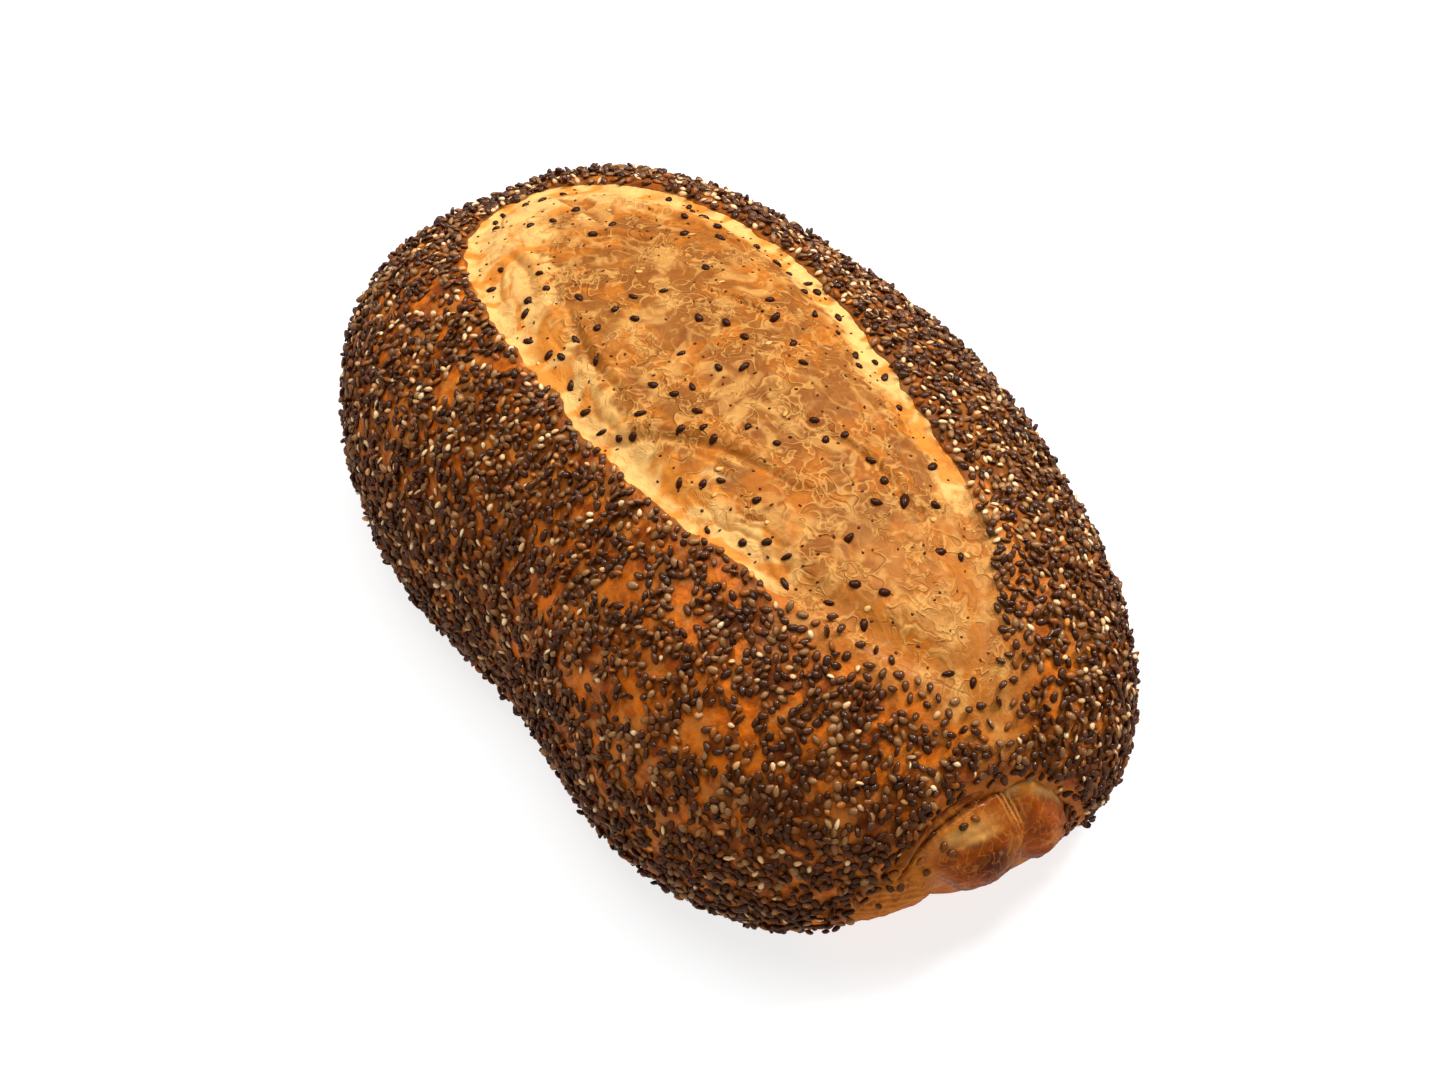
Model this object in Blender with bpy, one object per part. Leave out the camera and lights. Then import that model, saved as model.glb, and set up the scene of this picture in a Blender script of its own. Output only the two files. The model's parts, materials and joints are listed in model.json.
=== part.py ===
"""Chia bread: an oval hearth loaf with one long opened score and a rolled end seam, seeds on its crust.

Units are metres. +X runs along the loaf to the end with the rolled seam, +Z is up, and the loaf
rests on z = 0 with the origin in the middle of its foot. -Y is the fuller, slightly waisted flank.
"""

import math
import random

import bmesh
import bpy
import numpy as np
from mathutils import Matrix, Vector
from mathutils.bvhtree import BVHTree

# The loaf's outer sizes
HALF_LENGTH = 0.110
WAISTED_FLANK = 0.0709
ROUND_FLANK = 0.0571
HEIGHT = 0.0807
WIDEST_HEIGHT = 0.0241

# How square the plan is at each end, and how full the shoulder and the crown are
SEAM_END_POWER = 2.87
PLAIN_END_POWER = 2.62
END_BLEND = 2.0
SHOULDER_POWER = 1.89
CROWN_POWER = 2.61

# Uneven baking: widths and heights change a little along the loaf
WIDTH_GAIN = 0.037
HEIGHT_GAIN = 0.036
HEIGHT_ARCH = -0.052
SIDE_BOW = 0.0010
WAIST_DEPTH = 0.084
WAIST_PLACE = 0.0100
WAIST_SPREAD = 0.0308
SWELL_DEPTH = 0.100
SWELL_PLACE = 0.0086
SWELL_SPREAD = 0.0385

# The foot is drawn in below the widest line, and more so at one place under the rolled seam
FOOT_TUCK = 0.16
SEAM_TUCK = 0.085
SEAM_TUCK_PLACE = -0.024
SEAM_TUCK_SPREAD = 0.015

# The score, opened in the oven: its middle and reach along X, and how far it opens to each side
SCORE_MIDDLE = 0.0068
SCORE_HALF = 0.0913
SCORE_WAISTED_SIDE = 0.0372
SCORE_ROUND_SIDE_FAR = 0.0320
SCORE_ROUND_SIDE_NEAR = 0.0235
SCORE_NARROWING = 3.5
SCORE_PLAIN_END_WAISTED = (2.7, 0.37)
SCORE_PLAIN_END_ROUND = (2.4, 0.60)
SCORE_SEAM_END_WAISTED = (2.0, 1.0)
SCORE_SEAM_END_ROUND = (3.0, 1.0)

# Relief of the score, with its places as shares of the way from its middle to its edge
SCORE_GROOVE = 0.0014
SCORE_GROOVE_SHARE = 0.92
SCORE_GROOVE_SPREAD = 0.10
SCORE_CROWN = 0.0006
SCORE_LIP = 0.0008
SCORE_LIP_SHARE = 0.07
SCORE_WAVE = 0.0006
SCORE_WAVE_ACROSS = 0.0075
SCORE_WAVE_ALONG = 0.021
SCORE_WAVE_PHASE = 1.0
SCORE_TIP_WIDTH = 0.035

# The rolled seam across the +X end
SEAM_LEFT = -0.041
SEAM_RIGHT = 0.022
SEAM_RADIUS = 0.0146
SEAM_TIP_RADIUS = 0.0022
SEAM_HEIGHT = 0.0252
SEAM_TIP_HEIGHT = 0.0130
SEAM_PROUD = 0.0026
SEAM_TIP_SINK = 0.0040
SEAM_FULLNESS = (2.2, 0.8)
SEAM_POINTS = 13
ARCH_HEIGHT = 0.0430
ARCH_HALF = 0.031
ARCH_MIDDLE = -0.008
ARCH_HOLLOW = 0.0024
HOLLOW_FLOOR = 0.008
HOLLOW_RISE = 0.012
ARCH_LIP = 0.0010
ARCH_SOFTNESS = 0.0045
END_FACE_FROM = 0.80
END_FACE_FULL = 0.92

# Seeds: their size, how deep they sit, and how they are spread
SEED_LENGTH = 0.0027
SEED_WIDTH = 0.0018
SEED_THICKNESS = 0.0015
SEED_SINK = 0.10
SEED_COUNT = 225
SEED_SPACING = 0.0107
SEED_TRIALS = 12000
SEED_LOWEST = 0.006
SEED_DRAW = 11

# The core's grid
AROUND = 84
SCORE_RINGS = (0.0, 0.22, 0.44, 0.64, 0.80, 0.92, 1.0)
FLANK_RINGS = (SCORE_LIP_SHARE, 0.18, 0.30, 0.42, 0.52, 0.61, 0.70, 0.78, 0.86, 0.93, 1.0)
TUCK_RINGS = (0.28, 0.52, 0.76, 1.0)
FOOT_RINGS = (0.66, 0.33, 0.0)
SEAM_END_CROWDING = 1.3
RIM_SAMPLES = 4001
HALVINGS = 24
MERGE_DISTANCE = 0.00001

CRUST_COLOUR = (0.30, 0.115, 0.035, 1.0)
CRUST_ROUGHNESS = 0.45
SHARP_ANGLE = math.radians(40)


def signed_power(value, power):
    """A power that keeps the sign of its base."""
    return np.sign(value) * np.abs(value) ** power


def bump(place, middle, spread):
    """A bell of height 1 round a place."""
    return np.exp(-(((place - middle) / spread) ** 2))


def plan(angle, reach):
    """Plan x, y in a direction, at a share of the way out: a superellipse with unlike ends and sides."""
    cosine, sine = np.cos(angle), np.sin(angle)
    seam_end = 0.5 * (1 + np.tanh(END_BLEND * cosine))
    power = PLAIN_END_POWER + (SEAM_END_POWER - PLAIN_END_POWER) * seam_end
    along = reach * signed_power(cosine, 2 / power)
    x = HALF_LENGTH * along
    waist = -WAIST_DEPTH * bump(x, WAIST_PLACE, WAIST_SPREAD)
    swell = SWELL_DEPTH * bump(x, SWELL_PLACE, SWELL_SPREAD)
    side = np.where(sine > 0, ROUND_FLANK * (1 + swell), WAISTED_FLANK * (1 + waist))
    y = side * reach * signed_power(sine, 2 / power) * (1 + WIDTH_GAIN * along)
    return x, y + SIDE_BOW * (1 - along**2)


def dome(angle, polar):
    """A point of the upper crust: polar is 0 at the top and a quarter turn at the widest line."""
    reach = np.sin(polar) ** (2 / SHOULDER_POWER)
    x, y = plan(angle, reach)
    along = x / HALF_LENGTH
    crown = np.clip(np.cos(polar), 0, 1) ** (2 / CROWN_POWER)
    uneven = 1 + HEIGHT_GAIN * along + HEIGHT_ARCH * along**2
    z = WIDEST_HEIGHT + (HEIGHT - WIDEST_HEIGHT) * crown * uneven
    return np.stack([x, y, z], -1)


def tuck(angle, fall):
    """A point below the widest line: fall is 0 there and a quarter turn at the foot's edge."""
    rim_x, rim_y = plan(angle, np.ones_like(angle))
    under_seam = np.where(rim_x > 0, bump(rim_y, SEAM_TUCK_PLACE, SEAM_TUCK_SPREAD), 0)
    share = FOOT_TUCK + SEAM_TUCK * under_seam
    x, y = plan(angle, 1 - share * (1 - np.cos(fall)))
    z = WIDEST_HEIGHT * (1 - np.sin(fall))
    return np.stack([x, y, z], -1)


def taper(size, powers):
    """A width that falls from 1 to 0 as size goes from 0 to 1."""
    return (1 - size ** powers[0]) ** powers[1]


def score_sides(x):
    """The score's two edges, as y on the waisted and on the round side, at places along X."""
    along = np.clip((x - SCORE_MIDDLE) / SCORE_HALF, -1, 1)
    size = np.abs(along)
    plain_end = along < 0
    waisted = np.where(
        plain_end, taper(size, SCORE_PLAIN_END_WAISTED), taper(size, SCORE_SEAM_END_WAISTED)
    )
    rounded = np.where(plain_end, taper(size, SCORE_PLAIN_END_ROUND), taper(size, SCORE_SEAM_END_ROUND))
    narrowing = 0.5 * (1 + np.tanh(SCORE_NARROWING * along))
    round_side = SCORE_ROUND_SIDE_FAR + (SCORE_ROUND_SIDE_NEAR - SCORE_ROUND_SIDE_FAR) * narrowing
    return -SCORE_WAISTED_SIDE * waisted, round_side * rounded


def in_score(x, y):
    """Whether plan points lie inside the score's outline."""
    low, high = score_sides(x)
    return (np.abs(x - SCORE_MIDDLE) < SCORE_HALF) & (y > low) & (y < high)


def score_polar(angle):
    """The polar angle at which each direction leaves the score, by halving the gap."""
    inner = np.zeros_like(angle)
    outer = np.full_like(angle, 0.5 * math.pi)
    for _ in range(HALVINGS):
        middle = 0.5 * (inner + outer)
        point = dome(angle, middle)
        inside = in_score(point[..., 0], point[..., 1])
        inner = np.where(inside, middle, inner)
        outer = np.where(inside, outer, middle)
    return 0.5 * (inner + outer)


def even_angles(count):
    """Directions whose plan points are evenly spaced round the rim, closer at the seam end."""
    fine = np.linspace(0, 2 * math.pi, RIM_SAMPLES)
    x, y = plan(fine, np.ones_like(fine))
    middle_x, middle_y = 0.5 * (x[1:] + x[:-1]), 0.5 * (y[1:] + y[:-1])
    crowd = np.where(middle_x > 0, bump(middle_y, ARCH_MIDDLE, ARCH_HALF), 0)
    steps = np.hypot(np.diff(x), np.diff(y)) * (1 + SEAM_END_CROWDING * crowd)
    run = np.concatenate([[0], np.cumsum(steps)])
    return np.interp(np.arange(count) / count * run[-1], run, fine)


def arch(y):
    """Height of the arch over the rolled seam, below which the end is bare."""
    across = np.clip((y - ARCH_MIDDLE) / ARCH_HALF, -1, 1)
    return ARCH_HEIGHT * np.sqrt(1 - across**2)


def end_relief(point):
    """How far the +X end stands out: a lip along the arch and a hollow under it."""
    x, y, z = point[..., 0], point[..., 1], point[..., 2]
    at_end = np.clip((x / HALF_LENGTH - END_FACE_FROM) / (END_FACE_FULL - END_FACE_FROM), 0, 1)
    spanned = np.clip(1 - ((y - ARCH_MIDDLE) / ARCH_HALF) ** 2, 0, 1)
    below = arch(y) - z
    lip = ARCH_LIP * bump(below, -ARCH_SOFTNESS, ARCH_SOFTNESS)
    above_foot = np.clip((z - HOLLOW_FLOOR) / HOLLOW_RISE, 0, 1)
    hollow = -ARCH_HOLLOW * above_foot * 0.5 * (1 + np.tanh(below / ARCH_SOFTNESS))
    return at_end * (lip + hollow) * np.sqrt(spanned)


def score_width_share(x):
    """1 where the score is wide, falling to 0 at its tips, where its relief fades out."""
    low, high = score_sides(x)
    return np.clip((high - low) / SCORE_TIP_WIDTH, 0, 1)


def score_relief(share, point):
    """Height added inside the score, by the share of the way from its middle to its edge."""
    x, y = point[..., 0], point[..., 1]
    groove = -SCORE_GROOVE * bump(share, SCORE_GROOVE_SHARE, SCORE_GROOVE_SPREAD) * (share < 1)
    crown = SCORE_CROWN * (1 - share**2)
    wave = SCORE_WAVE * np.sin(y / SCORE_WAVE_ACROSS) * np.sin(x / SCORE_WAVE_ALONG + SCORE_WAVE_PHASE)
    return groove * score_width_share(x) + crown + wave * (1 - share**4)


def crust_grid():
    """The loaf's surface as rings of points, from the middle of the score down to the foot."""
    angle = even_angles(AROUND)
    edge = score_polar(angle)
    rings = []
    for share in SCORE_RINGS:
        ring = dome(angle, share * edge)
        ring[:, 2] += score_relief(share, ring)
        rings.append(ring)
    for share in FLANK_RINGS:
        ring = dome(angle, edge + share * (0.5 * math.pi - edge))
        lip = SCORE_LIP * bump(share, SCORE_LIP_SHARE, SCORE_LIP_SHARE)
        ring[:, 2] += lip * score_width_share(ring[:, 0])
        rings.append(ring)
    for share in TUCK_RINGS:
        rings.append(tuck(angle, np.full_like(angle, share * 0.5 * math.pi)))
    foot = rings[-1]
    for share in FOOT_RINGS:
        rings.append(foot * share)
    grid = np.array(rings)
    grid[..., 0] += end_relief(grid)
    grid[-1 - len(FOOT_RINGS):, :, 2] = 0.0
    return grid


def add_mesh_object(name, mesh, collection):
    """Link a mesh as a named object."""
    item = bpy.data.objects.new(name, mesh)
    collection.objects.link(item)
    return item


def corner_key(face, total):
    """A number that orders faces by their corners' indices."""
    first, second, third = sorted(vert.index for vert in face.verts)
    return float((first * total + second) * total + third)


def make_core(collection):
    """A UV sphere whose rings are laid on the loaf's surface."""
    grid = crust_grid()
    last = len(grid) - 1
    bm = bmesh.new()
    bmesh.ops.create_uvsphere(bm, u_segments=AROUND, v_segments=last, radius=1.0)
    for vert in bm.verts:
        height = max(-1.0, min(1.0, vert.co.z))
        ring = round((0.5 - math.asin(height) / math.pi) * last)
        turn = round(math.atan2(vert.co.y, vert.co.x) / (2 * math.pi) * AROUND) % AROUND
        vert.co = grid[ring, turn]
    bmesh.ops.triangulate(bm, faces=bm.faces[:])
    bmesh.ops.recalc_face_normals(bm, faces=bm.faces[:])
    bm.verts.index_update()
    bm.faces.sort(key=lambda face: corner_key(face, len(bm.verts)))
    mesh = bpy.data.meshes.new("loaf")
    bm.to_mesh(mesh)
    bm.free()
    return add_mesh_object("loaf", mesh, collection)


def end_reach(y):
    """How far the plan reaches along +X at a side position."""
    angle = np.linspace(-0.5 * math.pi, 0.5 * math.pi, RIM_SAMPLES)
    rim_x, rim_y = plan(angle, np.ones_like(angle))
    return float(np.interp(y, rim_y, rim_x))


def make_rolled_seam(collection):
    """The rolled seam: a spindle of dough across the +X end, thick in the middle."""
    curve = bpy.data.curves.new("rolled_seam_path", "CURVE")
    curve.dimensions = "3D"
    curve.bevel_depth = 1.0
    curve.bevel_resolution = 3
    curve.use_fill_caps = True
    spline = curve.splines.new("POLY")
    spline.points.add(SEAM_POINTS - 1)
    for index, point in enumerate(spline.points):
        along = -1 + 2 * index / (SEAM_POINTS - 1)
        fullness = taper(abs(along), SEAM_FULLNESS)
        radius = SEAM_TIP_RADIUS + (SEAM_RADIUS - SEAM_TIP_RADIUS) * fullness
        y = 0.5 * (SEAM_LEFT + SEAM_RIGHT) + 0.5 * (SEAM_RIGHT - SEAM_LEFT) * along
        x = end_reach(y) + SEAM_PROUD * fullness - SEAM_TIP_SINK * (1 - fullness) - radius
        z = SEAM_TIP_HEIGHT + (SEAM_HEIGHT - SEAM_TIP_HEIGHT) * fullness
        point.co = (x, y, z, 1.0)
        point.radius = radius
    path = bpy.data.objects.new("rolled_seam_path", curve)
    collection.objects.link(path)
    bpy.context.view_layer.update()
    evaluated = path.evaluated_get(bpy.context.evaluated_depsgraph_get())
    mesh = bpy.data.meshes.new_from_object(evaluated)
    bm = bmesh.new()
    bm.from_mesh(mesh)
    bmesh.ops.remove_doubles(bm, verts=bm.verts[:], dist=MERGE_DISTANCE)
    bmesh.ops.triangulate(bm, faces=bm.faces[:])
    bmesh.ops.recalc_face_normals(bm, faces=bm.faces[:])
    bm.to_mesh(mesh)
    bm.free()
    seam = add_mesh_object("rolled_seam", mesh, collection)
    seam.matrix_world = path.matrix_world
    bpy.data.objects.remove(path)
    return seam


def fuse(target, collection):
    """Join a collection's solids to the target by one Boolean union, then remove them."""
    union = target.modifiers.new("fuse", "BOOLEAN")
    union.operation = "UNION"
    union.operand_type = "COLLECTION"
    union.collection = collection
    union.solver = "EXACT"
    bpy.context.view_layer.update()
    evaluated = target.evaluated_get(bpy.context.evaluated_depsgraph_get())
    mesh = bpy.data.meshes.new_from_object(evaluated)
    target.modifiers.remove(union)
    target.data = mesh
    for item in list(collection.objects):
        bpy.data.objects.remove(item)


def carries_seeds(location):
    """Whether a surface point is seeded crust: not the score, the rolled seam or the foot."""
    x, y, z = location
    if z < SEED_LOWEST:
        return False
    if z > WIDEST_HEIGHT and bool(in_score(np.array(x), np.array(y))):
        return False
    return not (x > END_FACE_FROM * HALF_LENGTH and z < float(arch(np.array(y))) + SEED_LENGTH)


def seed_places(core, draw):
    """Evenly spread places on the seeded crust: random trials, each kept clear of those before it."""
    bm = bmesh.new()
    bm.from_mesh(core.data)
    bm.faces.ensure_lookup_table()
    areas = np.cumsum([face.calc_area() for face in bm.faces])
    places = []
    for _ in range(SEED_TRIALS):
        face = bm.faces[int(np.searchsorted(areas, draw.random() * areas[-1]))]
        corners = [vert.co for vert in sorted(face.verts, key=lambda vert: vert.index)]
        first, second = sorted((draw.random(), draw.random()))
        location = corners[0] * first + corners[1] * (second - first) + corners[2] * (1 - second)
        clear = all((location - other).length > SEED_SPACING for other, _ in places)
        if clear and carries_seeds(location):
            places.append((location.copy(), face.normal.copy()))
        if len(places) == SEED_COUNT:
            break
    bm.free()
    return places


def smooth_normal(tree, location, normal):
    """The surface's direction, averaged over what lies within a seed's length."""
    nearby = tree.find_nearest_range(location, SEED_LENGTH)
    total = Vector(normal)
    for _, other, _, _ in nearby:
        total += other
    return total.normalized()


def make_seeds(core, collection):
    """Low oval seeds, each lying flat on the crust and turned its own way."""
    draw = random.Random(SEED_DRAW)
    tree = BVHTree.FromPolygons(
        [vert.co for vert in core.data.vertices],
        [polygon.vertices[:] for polygon in core.data.polygons],
    )
    size = Matrix.Diagonal((0.5 * SEED_LENGTH, 0.5 * SEED_WIDTH, 0.5 * SEED_THICKNESS, 1.0))
    for index, (location, normal) in enumerate(seed_places(core, draw)):
        up = smooth_normal(tree, location, normal)
        turn = up.to_track_quat("Z", "Y").to_matrix().to_4x4()
        spin = Matrix.Rotation(draw.uniform(0, math.pi), 4, "Z")
        centre = location - up * (SEED_SINK * SEED_THICKNESS)
        bm = bmesh.new()
        place = Matrix.Translation(centre) @ turn @ spin @ size
        bmesh.ops.create_icosphere(bm, subdivisions=1, radius=1.0, matrix=place)
        mesh = bpy.data.meshes.new(f"seed_{index:03d}")
        bm.to_mesh(mesh)
        bm.free()
        add_mesh_object(f"seed_{index:03d}", mesh, collection)


def bodies(bm):
    """The mesh's vertices, grouped into what hangs together."""
    unseen = set(bm.verts)
    groups = []
    while unseen:
        front = [unseen.pop()]
        group = set(front)
        while front:
            reached = {edge.other_vert(vert) for vert in front for edge in vert.link_edges}
            front = list(reached - group)
            group.update(front)
        unseen -= group
        groups.append(group)
    return groups


def clean(target):
    """Merge doubled points, drop loose scraps and sealed hollows, and triangulate."""
    bm = bmesh.new()
    bm.from_mesh(target.data)
    bmesh.ops.remove_doubles(bm, verts=bm.verts[:], dist=MERGE_DISTANCE)
    bmesh.ops.dissolve_degenerate(bm, edges=bm.edges[:], dist=MERGE_DISTANCE)
    groups = sorted(bodies(bm), key=len)
    scraps = [vert for group in groups[:-1] for vert in group]
    bmesh.ops.delete(bm, geom=scraps, context="VERTS")
    bmesh.ops.triangulate(bm, faces=bm.faces[:])
    bm.to_mesh(target.data)
    bm.free()


def crust_material():
    """Glossy baked crust."""
    material = bpy.data.materials.new("seeded_crust")
    material.use_nodes = True
    shader = material.node_tree.nodes["Principled BSDF"]
    shader.inputs["Base Color"].default_value = CRUST_COLOUR
    shader.inputs["Roughness"].default_value = CRUST_ROUGHNESS
    shader.inputs["Metallic"].default_value = 0.0
    return material


def new_collection(name):
    """A collection in the scene."""
    collection = bpy.data.collections.new(name)
    bpy.context.scene.collection.children.link(collection)
    return collection


def main():
    """Build the loaf."""
    for item in list(bpy.data.objects):
        bpy.data.objects.remove(item)
    loaf_collection = new_collection("chia_bread")
    joined_collection = new_collection("joined_pieces")
    loaf = make_core(loaf_collection)
    make_rolled_seam(joined_collection)
    make_seeds(loaf, joined_collection)
    fuse(loaf, joined_collection)
    clean(loaf)
    bpy.data.collections.remove(joined_collection)
    loaf.data.materials.clear()
    loaf.data.materials.append(crust_material())
    loaf.data.shade_smooth()
    loaf.data.set_sharp_from_angle(angle=SHARP_ANGLE)


main()
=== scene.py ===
"""Chia bread: the finish of an oval hearth loaf, its seeds, its opened score and its rolled end seam.

Metres, +Z up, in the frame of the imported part: the loaf rests on z = 0 with the origin in the middle
of its foot, +X runs to the end with the rolled seam and -Y is the fuller, slightly waisted flank.
"""
import functools
import itertools
import json
import math

import bpy
import numpy as np
from mathutils import Matrix, Vector
from mathutils.kdtree import KDTree

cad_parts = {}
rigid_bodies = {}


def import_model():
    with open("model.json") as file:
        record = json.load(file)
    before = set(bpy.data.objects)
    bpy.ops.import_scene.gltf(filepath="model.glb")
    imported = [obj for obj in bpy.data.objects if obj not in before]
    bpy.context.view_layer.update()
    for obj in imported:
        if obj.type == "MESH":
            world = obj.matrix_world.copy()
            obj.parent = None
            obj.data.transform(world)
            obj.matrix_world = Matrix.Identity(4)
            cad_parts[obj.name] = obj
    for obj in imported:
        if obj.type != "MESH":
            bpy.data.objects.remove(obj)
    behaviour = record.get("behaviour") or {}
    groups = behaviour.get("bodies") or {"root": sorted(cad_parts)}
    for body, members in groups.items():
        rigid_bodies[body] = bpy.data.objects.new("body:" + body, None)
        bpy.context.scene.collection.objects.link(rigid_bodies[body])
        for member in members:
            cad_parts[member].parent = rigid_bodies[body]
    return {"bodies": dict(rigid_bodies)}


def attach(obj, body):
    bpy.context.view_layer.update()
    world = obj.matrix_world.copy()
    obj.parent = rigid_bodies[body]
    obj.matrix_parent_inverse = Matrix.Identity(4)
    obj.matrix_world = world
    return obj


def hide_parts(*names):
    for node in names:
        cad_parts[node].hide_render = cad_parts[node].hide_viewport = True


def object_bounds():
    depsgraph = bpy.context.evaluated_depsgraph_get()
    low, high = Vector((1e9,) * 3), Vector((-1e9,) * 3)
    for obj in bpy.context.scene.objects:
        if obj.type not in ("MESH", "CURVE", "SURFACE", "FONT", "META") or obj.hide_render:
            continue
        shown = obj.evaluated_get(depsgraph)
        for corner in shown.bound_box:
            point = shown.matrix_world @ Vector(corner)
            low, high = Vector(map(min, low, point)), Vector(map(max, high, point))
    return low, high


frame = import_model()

bl_info = {
    "name": "Chia bread",
    "version": (1, 0, 0),
    "blender": (4, 5, 0),
    "location": "View3D > Sidebar > Bread",
    "description": "Builds a seeded hearth loaf with an opened score and a rolled seam",
    "category": "Add Mesh",
}

BODY = next(iter(frame["bodies"]))
CAD_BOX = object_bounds()

# The loaf's outer form, which is the solid's own
HALF_LENGTH = 0.110
WAISTED_FLANK = 0.0709
ROUND_FLANK = 0.0571
HEIGHT = 0.0807
WIDEST_HEIGHT = 0.0241
SEAM_END_POWER = 2.87
PLAIN_END_POWER = 2.62
END_BLEND = 2.0
SHOULDER_POWER = 1.89
CROWN_POWER = 2.61
WIDTH_GAIN = 0.037
HEIGHT_GAIN = 0.036
HEIGHT_ARCH = -0.052
SIDE_BOW = 0.0010

# The waist and the swell of the two flanks, and the foot's tuck: depth, then place and spread
WAIST_DEPTH = 0.084
WAIST = (0.0100, 0.0308)
SWELL_DEPTH = 0.100
SWELL = (0.0086, 0.0385)
FOOT_TUCK = 0.16
SEAM_TUCK = 0.085
SEAM_TUCK_PLACE = (-0.024, 0.015)

# A dent in the wall under the seam, where the roll narrows: place, spread along Y and up, depth
WALL_DENT = (-0.0190, 0.0048, 0.011, 0.009, 0.0036)

# The score's outline and its main relief
SCORE_MIDDLE = 0.0068
SCORE_HALF = 0.0913
SCORE_WAISTED_SIDE = 0.0372
SCORE_ROUND_SIDE_FAR = 0.0320
SCORE_ROUND_SIDE_NEAR = 0.0235
SCORE_NARROWING = 3.5
SCORE_PLAIN_END_WAISTED = (2.7, 0.37)
SCORE_PLAIN_END_ROUND = (2.4, 0.60)
SCORE_SEAM_END_WAISTED = (2.3, 0.9)
SCORE_SEAM_END_ROUND = (3.4, 0.95)
SCORE_GROOVE = 0.0013
SCORE_GROOVE_IN = 0.0030
SCORE_GROOVE_SPREAD = 0.0034
SCORE_LIP = 0.0008
SCORE_LIP_OUT = 0.0036
SCORE_WAVE = 0.0006
SCORE_WAVE_ACROSS = 0.0075
SCORE_WAVE_ALONG = 0.021
SCORE_TIP_WIDTH = 0.035

# The rolled seam across the +X end; its drape is a turn round the roll with its spread
SEAM_LEFT = -0.041
SEAM_RIGHT = 0.022
SEAM_RADIUS = 0.0146
SEAM_TIP_RADIUS = 0.0022
SEAM_HEIGHT = 0.0252
SEAM_TIP_HEIGHT = 0.0130
SEAM_PROUD = 0.0026
SEAM_TIP_SINK = 0.0040
SEAM_FULLNESS = (2.2, 0.8)
SEAM_DRAPE = (math.radians(72), math.radians(30))
SEAM_LUMP_SIZE = 0.009
SEAM_GRAIN_SIZE = 0.0028

# Places along Y of the roll's valley and neck, and how far apart its streaks and its stretch lines are
SEAM_VALLEY = 0.0004
SEAM_NECK = -0.0197
STREAK_SPACING = 0.00022
STRETCH_SPACING = 0.00035

# Heights of the rolled seam's relief, by the name of each pattern
SEAM_HEIGHTS = {
    "drape": 0.0020, "lumps": 0.0006, "grain": 0.0005, "valley": -0.0013, "shoulder": 0.0010,
    "swelling": 0.0014, "strip": 0.0009, "crease": -0.0012, "flap": 0.0007, "neck": -0.0012,
    "streaks": 0.00028, "stretch": 0.00014, "blisters": 0.00045,
}

# Lines on the rolled seam, as places along Y with the turn round the roll in degrees
SEAM_CREASE = (
    (-0.0290, 22), (-0.0262, 33), (-0.0232, 44), (-0.0195, 51), (-0.0150, 56), (-0.0040, 61), (0.0020, 64)
)
SEAM_FLAP = ((-0.0030, 62), (0.0020, 60), (0.0060, 55), (0.0100, 49), (0.0130, 36))

# Spots on the rolled seam: place along Y, its spread, turn round the roll in degrees, its spread
SEAM_SWELLING = (-0.0100, 0.0058, 8, 28)
SEAM_BLISTERS = (-0.008, 0.006, 20, 20)
SEAM_LUMP = (-0.0082, 0.0052, 6, 21)
SEAM_WINDOW = (-0.0135, 0.0065, 41, 9)
# A painted highlight along the lump's upper edge, where it meets the window.
SEAM_HIGHLIGHT = (-0.0110, 0.0050, 33, 4)

# Relief of the roll's underside, a swelling and a notch: height, then the spot as above
SEAM_UNDERSIDE = (
    (0.0008, -0.0070, 0.0042, -35, 45),
    (-0.0027, -0.0186, 0.0034, -35, 45),
    (-0.0007, -0.0260, 0.0040, -35, 45),
)

# Single seeds on the rolled seam, as places seen from its end: y and z
SEAM_SEEDS = (
    (-0.0136, 0.0364), (-0.0170, 0.0319), (-0.0184, 0.0333), (-0.0197, 0.0350), (-0.0105, 0.0370),
    (0.0133, 0.0245), (0.0123, 0.0215), (0.0121, 0.0290), (0.0147, 0.0208), (0.0150, 0.0265),
    (0.0165, 0.0200), (0.0095, 0.0338), (-0.0230, 0.0308), (-0.0316, 0.0202), (-0.0222, 0.0275),
)
SEAM_SEED_TRIES = 260

# The bare arch above the rolled seam: its lip and hollow, and where the end's face begins
ARCH_HEIGHT = 0.0430
ARCH_HALF = 0.031
ARCH_MIDDLE = -0.008
ARCH_HOLLOW = 0.0024
HOLLOW_FLOOR = 0.008
HOLLOW_RISE = 0.012
ARCH_LIP = 0.0010
ARCH_SOFTNESS = 0.0045
END_FACE_FROM = 0.80
END_FACE_FULL = 0.92

# How finely the surfaces are divided
CRUST_AROUND = 520
HIDDEN_SHARES = (0.25, 0.5, 0.72, 0.86)
EDGE_RINGS = np.linspace(-0.06, 0.12, 22, endpoint=False)
FLANK_RINGS = np.linspace(0.12, 1.0, 84)
TUCK_RINGS = np.linspace(0.0, 1.0, 31)[1:]
FOOT_SHARES = (0.985, 0.95, 0.86, 0.7, 0.5, 0.25)
SCORE_COLUMNS = 470
SCORE_ROWS = 190
SCORE_PAD = 0.0026
SEAM_RINGS = 300
SEAM_AROUND = 220
RIM_SAMPLES = 4001
HALVINGS = 24
MAP_STEP = 0.001
OUTLINE_SAMPLES = 700

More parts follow.
